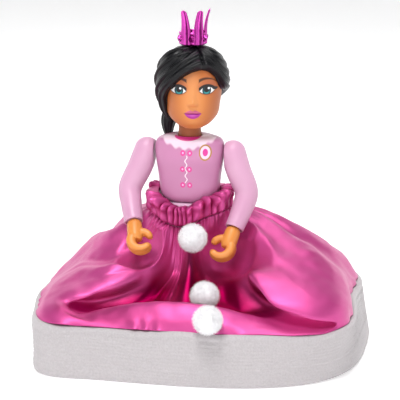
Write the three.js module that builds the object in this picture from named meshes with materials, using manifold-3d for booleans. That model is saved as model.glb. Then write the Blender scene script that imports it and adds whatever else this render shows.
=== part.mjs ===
// A dressed play doll: a jointed plastic figure in a gathered satin skirt with a fleece hem.
// Millimetres, +Z up. The doll faces -Y, so its own left side lies at +X. The origin is on the
// floor under the middle of the hem; the figure stands a little to one side of it.
import * as THREE from "three";
import { mergeVertices } from "three/addons/utils/BufferGeometryUtils.js";
import Module from "manifold-3d";

const wasm = await Module();
wasm.setup();

// Clearances between pieces
const TOUCH_GAP = 0.3; // between pieces that rest on one another
const PIN_PLAY = 0.25; // round a pin, peg or axle in its hole
const CLOTH_ROOM = 1.3; // cloth to the sweep of the forearms
const HAND_ROOM = 2.3; // cloth to the sweep of the turning hands
const POMPOM_SEAT = 1; // cloth to the round of a pompom

// Levels of the figure, each measured from the one below
const KNEE_HEIGHT = 18.5; // floor to knee axis
const THIGH_LENGTH = 17.5; // knee axis to hip axis
const HIP_TO_WAIST = 6.3; // hip axis to waist seam
const TORSO_HEIGHT = 19; // waist seam to collar
const NECK_SHOWN = 3.2; // collar to chin
const HEAD_HEIGHT = 21; // chin to top of skull
const SHOULDER_DROP = 4.8; // collar to shoulder axis

// Legs
const LEG_HALF_WIDTH = 2.9;
const HIP_RADIUS = 3.9; // round top of the thigh
const HIP_AXLE_RADIUS = 1.1;
const KNEE_RADIUS = 2.9; // round foot of the thigh
const KNEE_PIN_RADIUS = 0.8;
const KNEE_TONGUE = 2; // width of the shin's tongue
const CALF_HALF_DEPTH = 2.5;
const ANKLE_HALF_WIDTH = 2;
const SHOE_HEIGHT = 4;
const SHOE_HALF_WIDTH = 3;
const SHOE_LENGTH = 11;
const HEEL_LENGTH = 3.4; // heel behind the ankle

// Hips
const HIP_HALF_WIDTH = 7.3;
const HIP_HALF_DEPTH = 5.1;
const HIP_APRON = 3.6; // height of the hips under the waist seam
const HIP_WEB = 2.4; // thickness of the web between the thighs
const PLUG_HALF_WIDTH = 4;
const PLUG_HALF_DEPTH = 2.2;
const PLUG_HEIGHT = 3.4; // reach of the hip plug into the torso

// Torso shells
const TORSO_WALL = 1.2;
const TORSO_SQUARENESS = 2.6;
const TORSO_FOOT_HALF_WIDTH = 6.4;
const TORSO_FOOT_HALF_DEPTH = 4.3;
const WAIST_HALF_WIDTH = 8.5;
const WAIST_HALF_DEPTH = 5.4;
const CHEST_HALF_WIDTH = 9.7;
const CHEST_HALF_DEPTH = 6.1;
const SHOULDER_HALF_WIDTH = 10;
const SHOULDER_HALF_DEPTH = 5.3;
const COLLAR_HALF_WIDTH = 6;
const COLLAR_RIM = 0.8; // collar round the neck
const BOSS_RADIUS = 1.5; // joining bosses inside the shells
const BOSS_PIN_RADIUS = 0.7;

// Neck
const NECK_RADIUS = 3.4;
const NECK_FLANGE = 0.6; // how far the flange stands out under the collar
const NECK_FLANGE_HEIGHT = 1;
const NECK_DEPTH_IN_HEAD = 6;

// Head
const HEAD_TURN = 10.7; // degrees towards the doll's left
const HEAD_ASIDE = 0.9; // middle of the head from the neck's axis, towards the doll's left
const HEAD_HALF_WIDTH = 8.3;
const HEAD_HALF_DEPTH = 8.7;
const JAW_HALF_WIDTH = 7.1;
const CHIN_HALF_WIDTH = 2.4;
const NOSE_LENGTH = 1.1;
const NOSE_HEIGHT = 7.4; // above the chin

// Hair
const HAIR_THICKNESS = 1.7;
const NAPE_HEIGHT = 4.6; // lower edge at the back, above the chin
const FRINGE_HEIGHT = 17.6; // top of the open face, above the chin
const TEMPLE_HEIGHT = 11.6; // lower edge over the ear
const CHEEK_HEIGHT = 6; // lower edge of the hair at the cheek that the lock covers
const LOCK_RADIUS = 1.4;
const LOCK_SINK = 0.7; // how deep the middle of a lock lies under the face of the cap
const TAIL_RADIUS = 2.3;
const TAIL_DROP = 7.5; // tail tip under the chin

// Crown
const CROWN_TURN = 27; // degrees
const CROWN_RADIUS = 4;
const CROWN_WALL = 0.9;
const CROWN_BAND = 4; // height of the band
const CROWN_PIN_RADIUS = 1;
const CROWN_PIN_LENGTH = 2.6;
const PRONG_LENGTH = 6.4;
const PRONG_WIDTH = 3.1;
const PRONG_TAPER = 0.42; // share of the width lost towards the tip
const PRONG_BEND = 1.3; // how far the tip bends outwards
const PRONG_SPACING = 60; // degrees
const BOSS_SIZE = 0.9; // radius of the round bosses on the band

// Arms and hands
const LEFT_ARM_SWING = 10; // degrees forwards at rest
const RIGHT_ARM_SWING = 18;
const SLEEVE_OUT = 2.3; // middle of the sleeve's top from the shoulder face
const SLEEVE_TOP_RADIUS = 3.6;
const ELBOW_RADIUS = 3.35;
const CUFF_RADIUS = 2.65;
const ELBOW_OUT = 6.5; // elbow from the shoulder face
const ELBOW_DROP = 11.2;
const WRIST_OUT = 4;
const WRIST_FORWARD = 4;
const WRIST_DROP = 21.3;
const SHOULDER_PEG_RADIUS = 1.7;
const SHOULDER_FLANGE_RADIUS = 2.5;
const SHOULDER_FLANGE = 0.9; // thickness of the flange inside the torso
const WRIST_PEG_RADIUS = 1.2;
const WRIST_PEG_LENGTH = 3.4;
const PALM_RADIUS = 2.25; // round root of the hand
const GRIP_RADIUS = 1.65; // hollow of the C
const GRIP_DROP = 6.7; // wrist to the middle of the grip
const GRIP_INWARD = 1.3;
const FINGER_THICKNESS = 2.3;
const HAND_DEPTH = 4.2;
const GRIP_OPENING = 44; // degrees
const GRIP_OPENING_TILT = -15; // degrees from level

// Waist of the skirt
const ELASTIC_EASE = 0.6; // elastic to the waist of the torso
const ELASTIC_THICKNESS = 0.8;
const ELASTIC_HEIGHT = 2.6;
const RUFFLE_THICKNESS = 1.8;
const RUFFLE_HEIGHT = 5;
const RUFFLE_ABOVE_SEAM = 3.2; // top of the ruffle at the back, above the waist seam
const RUFFLE_DIP = 4.4; // how far it sinks at the front
const RUFFLE_DIP_TURN = -12; // degrees round from the front
const RUFFLE_DIP_WIDTH = 52; // degrees
const RUFFLE_FLARE = 0.5;
const RUFFLE_CURL = 0.2; // inner edge of the ruffle's top, from the elastic's inner face
const RUFFLE_PLEATS = 26;
const PLEAT_DEPTH = 0.4;

// Skirt and hem
const SKIRT_THICKNESS = 0.8;
const HEM_RIGHT = 43.5; // middle of the figure to the hem at its right, left, front and back
const HEM_LEFT = 52;
const HEM_FRONT = 41.5;
const HEM_BACK = 46;
const HEM_SQUARENESS = 2.8;
const HEM_CORNER = 5.5; // how far the hem's front right corner reaches out
const HEM_CORNER_TURN = -42; // degrees round from the front
const HEM_CORNER_WIDTH = 12; // degrees
const HEM_HEIGHT = 15;
const HEM_THICKNESS = 2.8;
const HEM_FLARE = 3.9; // how far the hem's left side leans in towards its top
const HEM_FLARE_TURN = 94; // degrees round from the front
const HEM_FLARE_WIDTH = 20; // degrees
const HEM_LEAN = 4; // how far the hem's front left corner leans out towards its top
const HEM_LEAN_TURN = 56; // degrees round from the front
const HEM_LEAN_WIDTH = 14; // degrees
const VALLEY_FLOOR_RADIUS = 26; // deepest place of the hollow in front, from the middle of the doll
const VALLEY_FLOOR_HEIGHT = 16.8;
const VALLEY_TOP_FALL = 12; // drop of the cloth just under the waist, behind the hands
const LIP_RADIUS = 34.5; // rolled ridge over the front of the hem
const LIP_HEIGHT = 21.8;
const LIP_FALL = 3.6; // how far the ridge sinks towards the ends of the hollow
const LIP_TURN = 4; // degrees, where the ridge is highest
const LIP_WIDTH = 33; // degrees
const VALLEY_TURN = 45; // degrees, the threads that follow the edges of the hollow
const VALLEY_SOFTNESS = 7; // degrees
const LEFT_ARM_ROOM = 78; // degrees, edges of the hollow just under the waist, where the forearms lie
const RIGHT_ARM_ROOM = 52;
const LEFT_FOLD = 46; // degrees, edges of the hollow half way down
const RIGHT_FOLD = 42;
const LEFT_FOLD_SPREAD = 13; // degrees that the left edge swings out towards the hem
const RIGHT_FOLD_TUCK = 12; // degrees that the right edge reaches in under the hand
const RIGHT_FOLD_CURL = 8; // degrees that the right edge curls in at the hem
const CURL_START = 33; // degrees, between which the ridge over the hem rises into the right puff
const CURL_END = 47;
const PANEL_TURN = 8.2; // degrees, the raised middle of the front panel
const PANEL_WIDTH = 8.2; // degrees
const PANEL_RISE = 0.75; // share of the puff that the panel keeps under the waist
const RIGHT_PUFF = 0.25; // fullness of the puffs, as a share of their height
const LEFT_PUFF = 0.85;
const BACK_PUFF = 0.72;
const RIGHT_PUFF_OUT = 0.845; // where the puffs are full, as a share of the way to the hem
const LEFT_PUFF_OUT = 1.02;
const BACK_PUFF_OUT = 0.89;
const LEFT_PUFF_FALL = 6.8; // slope of the cloth under the waist
const BACK_PUFF_FALL = 7;
const LEFT_PUFF_TURN = 84; // degrees round from the front
const LEFT_PUFF_WIDTH = 51; // degrees
const BACK_PUFF_WIDTH = 44;
const LONG_FOLDS = 10; // soft folds round the skirt
const LONG_FOLD_DEPTH = 0.8;
const LONG_FOLD_DRIFT = 0.8; // how unevenly they are spaced

// Pompoms, sewn to the front panel: degrees round from the front, and shares of the cloth's length
const POMPOM_RADIUS = 4.3;
const POMPOM_TOP_TURN = 8.6;
const POMPOM_TOP_SHARE = 0.13;
const POMPOM_MIDDLE_TURN = 19;
const POMPOM_MIDDLE_SHARE = 0.42;
const POMPOM_BOTTOM_TURN = 14.4;
const POMPOM_BOTTOM_SHARE = 0.9;

// Facet counts
const ROUND_SIDES = 16;
const LIMB_SIDES = 12;
const BORE_SIDES = 28;
const SKIRT_SIDES = 56;
const SKIRT_ROWS = 10;
const FRONT_CROWDING = 0.42; // share by which the skirt's facets gather towards its front

const LEG_OFFSET = HIP_WEB / 2 + 2 * TOUCH_GAP + LEG_HALF_WIDTH; // figure's middle to a leg's middle
const COLLAR_HALF_DEPTH = NECK_RADIUS + COLLAR_RIM;
const ELASTIC_HALF_WIDTH = WAIST_HALF_WIDTH + ELASTIC_EASE;
const ELASTIC_HALF_DEPTH = WAIST_HALF_DEPTH + ELASTIC_EASE;
const SHOULDER_RISE = TORSO_HEIGHT - SHOULDER_DROP; // waist seam to shoulder axis
const HIP_HEIGHT = KNEE_HEIGHT + THIGH_LENGTH;
const WAIST = HIP_HEIGHT + HIP_TO_WAIST;
const SHOULDER_AXIS = WAIST + SHOULDER_RISE;
const COLLAR = WAIST + TORSO_HEIGHT;
const CHIN = COLLAR + NECK_SHOWN;
const HAIR_TOP = HEAD_HEIGHT + HAIR_THICKNESS; // above the chin

const radians = THREE.MathUtils.degToRad;
const mix = THREE.MathUtils.lerp;
const smooth = THREE.MathUtils.smoothstep;
const point = (x, y, z) => new THREE.Vector3(x, y, z);
const spline = (points) => new THREE.CatmullRomCurve3(points, false, "catmullrom", 0.5);

// Solids: three.js surfaces turned into bodies that can be joined and cut

/** Volume inside a list of triangles, negative when they face inwards. */
function signedVolume(positions, faces) {
  const corner = (i) => point().fromArray(positions, 3 * i);
  let total = 0;
  for (let i = 0; i < faces.length; i += 3) {
    total += corner(faces[i]).dot(corner(faces[i + 1]).cross(corner(faces[i + 2]))) / 6;
  }
  return total;
}

function toSolid(geometry) {
  const bare = geometry.clone();
  bare.deleteAttribute("normal");
  bare.deleteAttribute("uv");
  const merged = mergeVertices(bare, 1e-4);
  const vertProperties = new Float32Array(merged.attributes.position.array);
  const triVerts = new Uint32Array(merged.index.array);
  if (signedVolume(vertProperties, triVerts) < 0) {
    triVerts.reverse();
  }
  return new wasm.Manifold(new wasm.Mesh({ numProp: 3, vertProperties, triVerts }));
}

function toGeometry(solid) {
  const mesh = solid.getMesh();
  const geometry = new THREE.BufferGeometry();
  geometry.setAttribute("position", new THREE.BufferAttribute(mesh.vertProperties, 3));
  geometry.setIndex(new THREE.BufferAttribute(mesh.triVerts, 1));
  geometry.computeVertexNormals();
  return geometry;
}

function join(...geometries) {
  return toGeometry(geometries.map(toSolid).reduce((all, next) => all.add(next)));
}

function cut(geometry, ...tools) {
  return toGeometry(tools.map(toSolid).reduce((left, tool) => left.subtract(tool), toSolid(geometry)));
}

/** Skin over a row of rings with equal counts; an endless row closes on itself like a tyre. */
function loft(rings, endless = false) {
  const count = rings[0].length;
  const corners = rings.flat();
  const faces = [];
  const spans = endless ? rings.length : rings.length - 1;
  for (let row = 0; row < spans; row++) {
    const next = (row + 1) % rings.length;
    for (let i = 0; i < count; i++) {
      const j = (i + 1) % count;
      const [a, b, c, d] = [row * count + i, row * count + j, next * count + j, next * count + i];
      faces.push(a, b, c, a, c, d);
    }
  }
  if (!endless) {
    addCap(rings[0], 0, corners, faces, true);
    addCap(rings[rings.length - 1], (rings.length - 1) * count, corners, faces, false);
  }
  const positions = corners.flatMap((corner) => corner.toArray());
  if (signedVolume(positions, faces) < 0) {
    faces.reverse();
  }
  const geometry = new THREE.BufferGeometry();
  geometry.setAttribute("position", new THREE.Float32BufferAttribute(positions, 3));
  geometry.setIndex(faces);
  geometry.computeVertexNormals();
  return geometry;
}

function addCap(ring, first, corners, faces, reversed) {
  const middle = ring.reduce((sum, corner) => sum.add(corner), point(0, 0, 0)).divideScalar(ring.length);
  const centre = corners.push(middle) - 1;
  for (let i = 0; i < ring.length; i++) {
    const [a, b] = [first + i, first + ((i + 1) % ring.length)];
    faces.push(...(reversed ? [centre, b, a] : [centre, a, b]));
  }
}

/** Oval ring at a level; squareness 2 is an ellipse, more is boxier. */
function ovalRing(halfWidth, halfDepth, squareness, sides, y, z) {
  const round = (value) => Math.sign(value) * Math.abs(value) ** (2 / squareness);
  return Array.from({ length: sides }, (_, i) => {
    const angle = (2 * Math.PI * i) / sides;
    return point(halfWidth * round(Math.cos(angle)), y + halfDepth * round(Math.sin(angle)), z);
  });
}

/** Upright form through oval stations, each [half width, half depth, height, y of its middle]. */
function barrel(stations, steps, sides, squareness) {
  const sizes = spline(stations.map(([width, depth, height]) => point(width, depth, height)));
  const middles = spline(stations.map(([, , , y = 0]) => point(0, y, 0)));
  const rings = Array.from({ length: steps + 1 }, (_, i) => {
    const size = sizes.getPoint(i / steps);
    const middle = middles.getPoint(i / steps);
    return ovalRing(size.x, size.y, squareness, sides, middle.y, size.z);
  });
  return loft(rings);
}

/** Round tapering form along a curve through points, with one radius at each point. */
function limb(points, radii, steps, sides) {
  const curve = spline(points);
  const sizes = spline(radii.map((radius) => point(radius, 0, 0)));
  const frames = curve.computeFrenetFrames(steps, false);
  const rings = Array.from({ length: steps + 1 }, (_, i) => {
    const middle = curve.getPointAt(i / steps);
    const radius = sizes.getPoint(curve.getUtoTmapping(i / steps)).x;
    return Array.from({ length: sides }, (_, k) => {
      const angle = (2 * Math.PI * k) / sides;
      const across = frames.normals[i].clone().multiplyScalar(radius * Math.cos(angle));
      const along = frames.binormals[i].clone().multiplyScalar(radius * Math.sin(angle));
      return middle.clone().add(across).add(along);
    });
  });
  return loft(rings);
}

/** Round bar between two points. */
function rod(radius, from, to, sides = ROUND_SIDES) {
  const along = to.clone().sub(from);
  const bar = new THREE.CylinderGeometry(radius, radius, along.length(), sides);
  bar.applyQuaternion(new THREE.Quaternion().setFromUnitVectors(point(0, 1, 0), along.normalize()));
  const middle = from.clone().add(to).divideScalar(2);
  return bar.translate(middle.x, middle.y, middle.z);
}

function block(low, high) {
  const size = high.clone().sub(low);
  const middle = low.clone().add(high).divideScalar(2);
  return new THREE.BoxGeometry(size.x, size.y, size.z).translate(middle.x, middle.y, middle.z);
}

function ball(radius, centre, columns = 12, rows = 8) {
  return new THREE.SphereGeometry(radius, columns, rows).translate(centre.x, centre.y, centre.z);
}

function material(color, roughness, metalness = 0) {
  return new THREE.MeshStandardMaterial({ color, roughness, metalness });
}

function piece(name, geometry, finish) {
  const mesh = new THREE.Mesh(geometry, finish);
  mesh.name = name;
  return mesh;
}

// Finishes
const pinkPlastic = () => material(0xecb2d8, 0.4);
const palePlastic = () => material(0xf3cfe6, 0.4);
const skinPlastic = () => material(0xe29650, 0.45);
const hairPlastic = () => material(0x2d2d30, 0.5);
const pinMetal = () => material(0xb8b8bc, 0.3, 1);
const satin = () => material(0xd24b96, 0.35);
const fleece = () => material(0xe6e4e6, 0.95);

// Legs, with the hip axis at the origin of a leg and the outer side at +X
const KNEE_Z = -THIGH_LENGTH;

function thigh() {
  const round = rod(HIP_RADIUS, point(-LEG_HALF_WIDTH, 0, 0), point(LEG_HALF_WIDTH, 0, 0));
  const bar = barrel(
    [
      [LEG_HALF_WIDTH, HIP_RADIUS * 0.9, 0],
      [LEG_HALF_WIDTH, (HIP_RADIUS + KNEE_RADIUS) / 2, KNEE_Z / 2],
      [LEG_HALF_WIDTH, KNEE_RADIUS, KNEE_Z],
    ],
    4,
    LIMB_SIDES,
    3,
  );
  const knee = rod(KNEE_RADIUS, point(-LEG_HALF_WIDTH, 0, KNEE_Z), point(LEG_HALF_WIDTH, 0, KNEE_Z));
  const halfSlot = KNEE_TONGUE / 2 + TOUCH_GAP;
  const slotReach = KNEE_RADIUS + TOUCH_GAP;
  const slot = join(
    rod(slotReach, point(-halfSlot, 0, KNEE_Z), point(halfSlot, 0, KNEE_Z)),
    block(point(-halfSlot, -slotReach, KNEE_Z - slotReach), point(halfSlot, slotReach, KNEE_Z)),
  );
  return cut(join(round, bar, knee), slot, crossHole(HIP_AXLE_RADIUS, 0), crossHole(KNEE_PIN_RADIUS, KNEE_Z));
}

function crossHole(pinRadius, z) {
  const reach = 2 * LEG_HALF_WIDTH;
  return rod(pinRadius + PIN_PLAY, point(-reach, 0, z), point(reach, 0, z));
}

/** Lower leg and shoe, with the knee axis at the origin. */
function shin() {
  const halfTongue = KNEE_TONGUE / 2;
  const halfDepth = CALF_HALF_DEPTH * 0.8;
  const calfTop = -(KNEE_RADIUS + TOUCH_GAP);
  const tongue = join(
    rod(KNEE_RADIUS, point(-halfTongue, 0, 0), point(halfTongue, 0, 0)),
    block(point(-halfTongue, -halfDepth, calfTop - 1), point(halfTongue, halfDepth, 0)),
  );
  const calf = barrel(
    [
      [LEG_HALF_WIDTH * 0.9, CALF_HALF_DEPTH * 0.9, calfTop],
      [LEG_HALF_WIDTH * 0.95, CALF_HALF_DEPTH, calfTop - 3],
      [ANKLE_HALF_WIDTH, ANKLE_HALF_WIDTH, SHOE_HEIGHT - KNEE_HEIGHT],
      [ANKLE_HALF_WIDTH, ANKLE_HALF_WIDTH, SHOE_HEIGHT / 2 - KNEE_HEIGHT],
    ],
    6,
    LIMB_SIDES,
    2.4,
  );
  const shoeMiddle = HEEL_LENGTH - SHOE_LENGTH / 2;
  const shoe = barrel(
    [
      [SHOE_HALF_WIDTH * 0.95, SHOE_LENGTH / 2 - 0.2, -KNEE_HEIGHT, shoeMiddle],
      [SHOE_HALF_WIDTH, SHOE_LENGTH / 2, 1 - KNEE_HEIGHT, shoeMiddle],
      [SHOE_HALF_WIDTH * 0.9, SHOE_LENGTH * 0.42, SHOE_HEIGHT * 0.6 - KNEE_HEIGHT, shoeMiddle + 0.5],
      [ANKLE_HALF_WIDTH, ANKLE_HALF_WIDTH * 1.1, SHOE_HEIGHT - KNEE_HEIGHT, 0],
    ],
    6,
    LIMB_SIDES,
    2.3,
  );
  return cut(join(tongue, calf, shoe), crossHole(KNEE_PIN_RADIUS, 0));
}

function leg(side, mirror) {
  const hip = new THREE.Group();
  hip.position.set(mirror * LEG_OFFSET, 0, HIP_HEIGHT);
  hip.scale.x = mirror;
  hip.add(piece(`${side}_thigh`, thigh(), palePlastic()));
  const knee = new THREE.Group();
  knee.position.z = KNEE_Z;
  const pinReach = LEG_HALF_WIDTH - TOUCH_GAP;
  const pin = rod(KNEE_PIN_RADIUS, point(-pinReach, 0, 0), point(pinReach, 0, 0));
  knee.add(piece(`${side}_knee_pin`, pin, pinMetal()));
  knee.add(piece(`${side}_shin`, shin(), palePlastic()));
  hip.add(knee);
  return hip;
}

// Hips: an apron round the thigh tops, a web between them, and a plug for the torso
function hips() {
  const top = WAIST - TOUCH_GAP;
  const apron = barrel(
    [
      [HIP_HALF_WIDTH * 0.94, HIP_HALF_DEPTH * 0.94, WAIST - HIP_APRON],
      [HIP_HALF_WIDTH, HIP_HALF_DEPTH, WAIST - HIP_APRON / 2],
      [HIP_HALF_WIDTH * 0.9, HIP_HALF_DEPTH * 0.9, top],
    ],
    4,
    24,
    TORSO_SQUARENESS,
  );
  const reach = LEG_OFFSET + 2 * LEG_HALF_WIDTH;
  const axisEnds = [point(-reach, 0, HIP_HEIGHT), point(reach, 0, HIP_HEIGHT)];
  const thighSpace = rod(HIP_RADIUS + TOUCH_GAP, ...axisEnds, BORE_SIDES);
  const halfWeb = HIP_WEB / 2;
  const webRadius = HIP_RADIUS * 0.85;
  const web = join(
    rod(webRadius, point(-halfWeb, 0, HIP_HEIGHT), point(halfWeb, 0, HIP_HEIGHT)),
    block(point(-halfWeb, -webRadius, HIP_HEIGHT), point(halfWeb, webRadius, top - TOUCH_GAP)),
  );
  const plug = barrel(
    [
      [PLUG_HALF_WIDTH, PLUG_HALF_DEPTH, top - 1],
      [PLUG_HALF_WIDTH, PLUG_HALF_DEPTH, WAIST + PLUG_HEIGHT],
    ],
    1,
    24,
    TORSO_SQUARENESS,
  );
  const axleHole = rod(HIP_AXLE_RADIUS + PIN_PLAY, ...axisEnds);
  return cut(join(cut(apron, thighSpace), web, plug), axleHole);
}

function hipAxle() {
  const reach = LEG_OFFSET + LEG_HALF_WIDTH - TOUCH_GAP;
  return rod(HIP_AXLE_RADIUS, point(-reach, 0, HIP_HEIGHT), point(reach, 0, HIP_HEIGHT));
}

// Torso: one outer form hollowed by its wall and parted front from back, the waist seam at z = 0
function torsoForm(inset) {
  const footToWaist = (share) => [
    mix(TORSO_FOOT_HALF_WIDTH, WAIST_HALF_WIDTH, share),
    mix(TORSO_FOOT_HALF_DEPTH, WAIST_HALF_DEPTH, share),
  ];
  const waistToChest = (share) => [
    mix(WAIST_HALF_WIDTH, CHEST_HALF_WIDTH, share),
    mix(WAIST_HALF_DEPTH, CHEST_HALF_DEPTH, share),
  ];
  const shoulderToCollar = (share) => [
    mix(SHOULDER_HALF_WIDTH, COLLAR_HALF_WIDTH, share),
    mix(SHOULDER_HALF_DEPTH, COLLAR_HALF_DEPTH, share),
  ];
  const stations = [
    [0, footToWaist(0)],
    [0.05, footToWaist(0.65)],
    [0.16, footToWaist(1)],
    [0.42, waistToChest(0.5)],
    [0.64, waistToChest(1)],
    [0.8, shoulderToCollar(0)],
    [0.94, shoulderToCollar(0.2)],
    [1, shoulderToCollar(1)],
  ];
  const level = (share) => mix(inset, TORSO_HEIGHT - inset, share);
  const shrunk = stations.map(([share, [width, depth]]) => [width - inset, depth - inset, level(share)]);
  return barrel(shrunk, 12, 22, TORSO_SQUARENESS);
}

function torsoHalf(facing) {
  const far = 4 * SHOULDER_HALF_WIDTH;
  const seam = facing * TOUCH_GAP / 2;
  const otherHalf = facing < 0
    ? block(point(-far, seam, -far), point(far, far, far))
    : block(point(-far, -far, -far), point(far, seam, far));
  const plugHole = barrel(
    [
      [PLUG_HALF_WIDTH + TOUCH_GAP, PLUG_HALF_DEPTH + TOUCH_GAP, -1],
      [PLUG_HALF_WIDTH + TOUCH_GAP, PLUG_HALF_DEPTH + TOUCH_GAP, PLUG_HEIGHT + TOUCH_GAP],
    ],
    1,
    24,
    TORSO_SQUARENESS,
  );
  const neckFoot = TORSO_HEIGHT - TORSO_WALL - NECK_FLANGE_HEIGHT - 2 * TOUCH_GAP;
  const neckHole = rod(NECK_RADIUS + TOUCH_GAP, point(0, 0, neckFoot), point(0, 0, TORSO_HEIGHT + 1), 24);
  const flangeHole = rod(
    NECK_RADIUS + NECK_FLANGE + TOUCH_GAP,
    point(0, 0, neckFoot - TOUCH_GAP),
    point(0, 0, TORSO_HEIGHT - TORSO_WALL),
    24,
  );
  const acrossShoulders = (reach) => [point(-reach, 0, SHOULDER_RISE), point(reach, 0, SHOULDER_RISE)];
  const pegHole = rod(SHOULDER_PEG_RADIUS + PIN_PLAY, ...acrossShoulders(far));
  const flangeReach = SHOULDER_HALF_WIDTH - TORSO_WALL;
  const pegFlangeHole = rod(SHOULDER_FLANGE_RADIUS + PIN_PLAY, ...acrossShoulders(flangeReach));
  const shell = cut(torsoForm(0), torsoForm(TORSO_WALL), otherHalf);
  const bosses = bossHeights().map((z) => {
    return rod(BOSS_RADIUS, point(0, seam, z), point(0, facing * (WAIST_HALF_DEPTH - TORSO_WALL / 2), z));
  });
  const hollowed = cut(join(shell, ...bosses), plugHole, neckHole, flangeHole, pegHole, pegFlangeHole);
  return joinedByPins(hollowed, facing, seam);
}

/** Levels of the two joining bosses, between the hip plug and the shoulder flanges. */
function bossHeights() {
  const low = PLUG_HEIGHT + BOSS_RADIUS + 2 * TOUCH_GAP;
  const high = SHOULDER_RISE - SHOULDER_FLANGE_RADIUS - BOSS_RADIUS - 2 * TOUCH_GAP;
  return [low, high];
}

function joinedByPins(half, facing, seam) {
  const depth = WAIST_HALF_DEPTH / 2;
  const pins = bossHeights().map((z) => {
    const radius = facing < 0 ? BOSS_PIN_RADIUS + PIN_PLAY : BOSS_PIN_RADIUS;
    const tip = facing < 0 ? -depth : -depth + TOUCH_GAP;
    const root = facing < 0 ? depth : seam + BOSS_RADIUS;
    return rod(radius, point(0, tip, z), point(0, root, z), 12);
  });
  return facing < 0 ? cut(half, ...pins) : join(half, ...pins);
}

function neck() {
  const foot = COLLAR - TORSO_WALL - NECK_FLANGE_HEIGHT - TOUCH_GAP;
  const top = CHIN + NECK_DEPTH_IN_HEAD;
  const profile = [
    new THREE.Vector2(0, foot),
    new THREE.Vector2(NECK_RADIUS + NECK_FLANGE, foot),
    new THREE.Vector2(NECK_RADIUS + NECK_FLANGE, foot + NECK_FLANGE_HEIGHT),
    new THREE.Vector2(NECK_RADIUS, foot + NECK_FLANGE_HEIGHT),
    new THREE.Vector2(NECK_RADIUS, top - 1),
    new THREE.Vector2(NECK_RADIUS - 1, top),
    new THREE.Vector2(0, top),
  ];
  return new THREE.LatheGeometry(profile, 24).rotateX(Math.PI / 2);
}

// Head, with the chin's level at z = 0 and the middle of the skull at the origin
function headForm() {
  const brow = 0.7 * HEAD_HEIGHT;
  return barrel(
    [
      [CHIN_HALF_WIDTH, 2, 0, -5],
      [0.7 * JAW_HALF_WIDTH, 0.5 * HEAD_HALF_DEPTH, 0.06 * HEAD_HEIGHT, -3.4],
      [JAW_HALF_WIDTH, 0.78 * HEAD_HALF_DEPTH, 0.17 * HEAD_HEIGHT, -1.5],
      [0.94 * HEAD_HALF_WIDTH, 0.93 * HEAD_HALF_DEPTH, 0.33 * HEAD_HEIGHT, -0.5],
      [HEAD_HALF_WIDTH, HEAD_HALF_DEPTH, 0.52 * HEAD_HEIGHT, 0],
      [0.98 * HEAD_HALF_WIDTH, HEAD_HALF_DEPTH, brow, 0.2],
      [0.8 * HEAD_HALF_WIDTH, 0.82 * HEAD_HALF_DEPTH, 0.87 * HEAD_HEIGHT, 0.2],
      [0.48 * HEAD_HALF_WIDTH, 0.5 * HEAD_HALF_DEPTH, 0.965 * HEAD_HEIGHT, 0.2],
      [0.15 * HEAD_HALF_WIDTH, 0.15 * HEAD_HALF_DEPTH, HEAD_HEIGHT, 0.2],
    ],
    13,
    22,
    2.15,
  );
}

function head() {
  const nose = ball(1.2, point(0, 0, 0), 10, 8);
  nose.scale(0.8, 1, 1.15).translate(0, 0.8 - HEAD_HALF_DEPTH * 0.97 - NOSE_LENGTH / 2, NOSE_HEIGHT);
  const neckAxis = point(-HEAD_ASIDE, 0, 0).applyAxisAngle(point(0, 0, 1), -radians(HEAD_TURN));
  const neckTop = neckAxis.clone().setZ(NECK_DEPTH_IN_HEAD + TOUCH_GAP);
  const neckHole = rod(NECK_RADIUS + TOUCH_GAP, neckAxis.setZ(-2), neckTop, 24);
  return cut(join(headForm(), nose), neckHole, crownHole());
}

function crownHole() {
  const foot = HAIR_TOP - CROWN_PIN_LENGTH - TOUCH_GAP;
  return rod(CROWN_PIN_RADIUS + PIN_PLAY, point(0, 0, foot), point(0, 0, HAIR_TOP + 1));
}

// Hair: a cap over the skull, opened for the face, with combed locks and a tail behind
const capWidth = HEAD_HALF_WIDTH + HAIR_THICKNESS;
const capDepth = HEAD_HALF_DEPTH + HAIR_THICKNESS;
const capStations = [
  [0.84 * capWidth, 0.8 * capDepth, NAPE_HEIGHT, 1],
  [0.96 * capWidth, 0.93 * capDepth, NAPE_HEIGHT + 3.4, 0.8],
  [capWidth + 0.2, capDepth, 0.56 * HEAD_HEIGHT, 0.4],
  [0.98 * capWidth, 0.99 * capDepth, 0.74 * HEAD_HEIGHT, 0.3],
  [0.8 * capWidth, 0.82 * capDepth, 0.92 * HEAD_HEIGHT, 0.2],
  [0.47 * capWidth, 0.48 * capDepth, HAIR_TOP - 0.9, 0.2],
  [0.2 * capWidth, 0.2 * capDepth, HAIR_TOP, 0.2],
];

// Locks over the cap, from the parting down: degrees round from the front, shares of the hair's height
const LOCKS = [
  [[20, 0.894], [-6, 0.872], [-30, 0.775], [-52, 0.626], [-72, 0.467], [-84, 0.29]],
  [[20, 0.943], [-20, 0.925], [-55, 0.815], [-80, 0.64], [-100, 0.463], [-116, 0.326]],
  [[18, 0.824], [34, 0.789], [48, 0.705], [60, 0.581], [72, 0.502]],
  [[18, 0.89], [42, 0.863], [66, 0.74], [84, 0.59], [104, 0.45]],
];
const FRINGE_LOCK = [[20, 0.824], [0, 0.797], [-16, 0.736], [-30, 0.643], [-46, 0.529], [-60, 0.405]];
const LOCK_HANG = 0.247; // where the fringe lock leaves the cap, as a share of the hair's height
const LOCK_TIP = 0.07;

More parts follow.
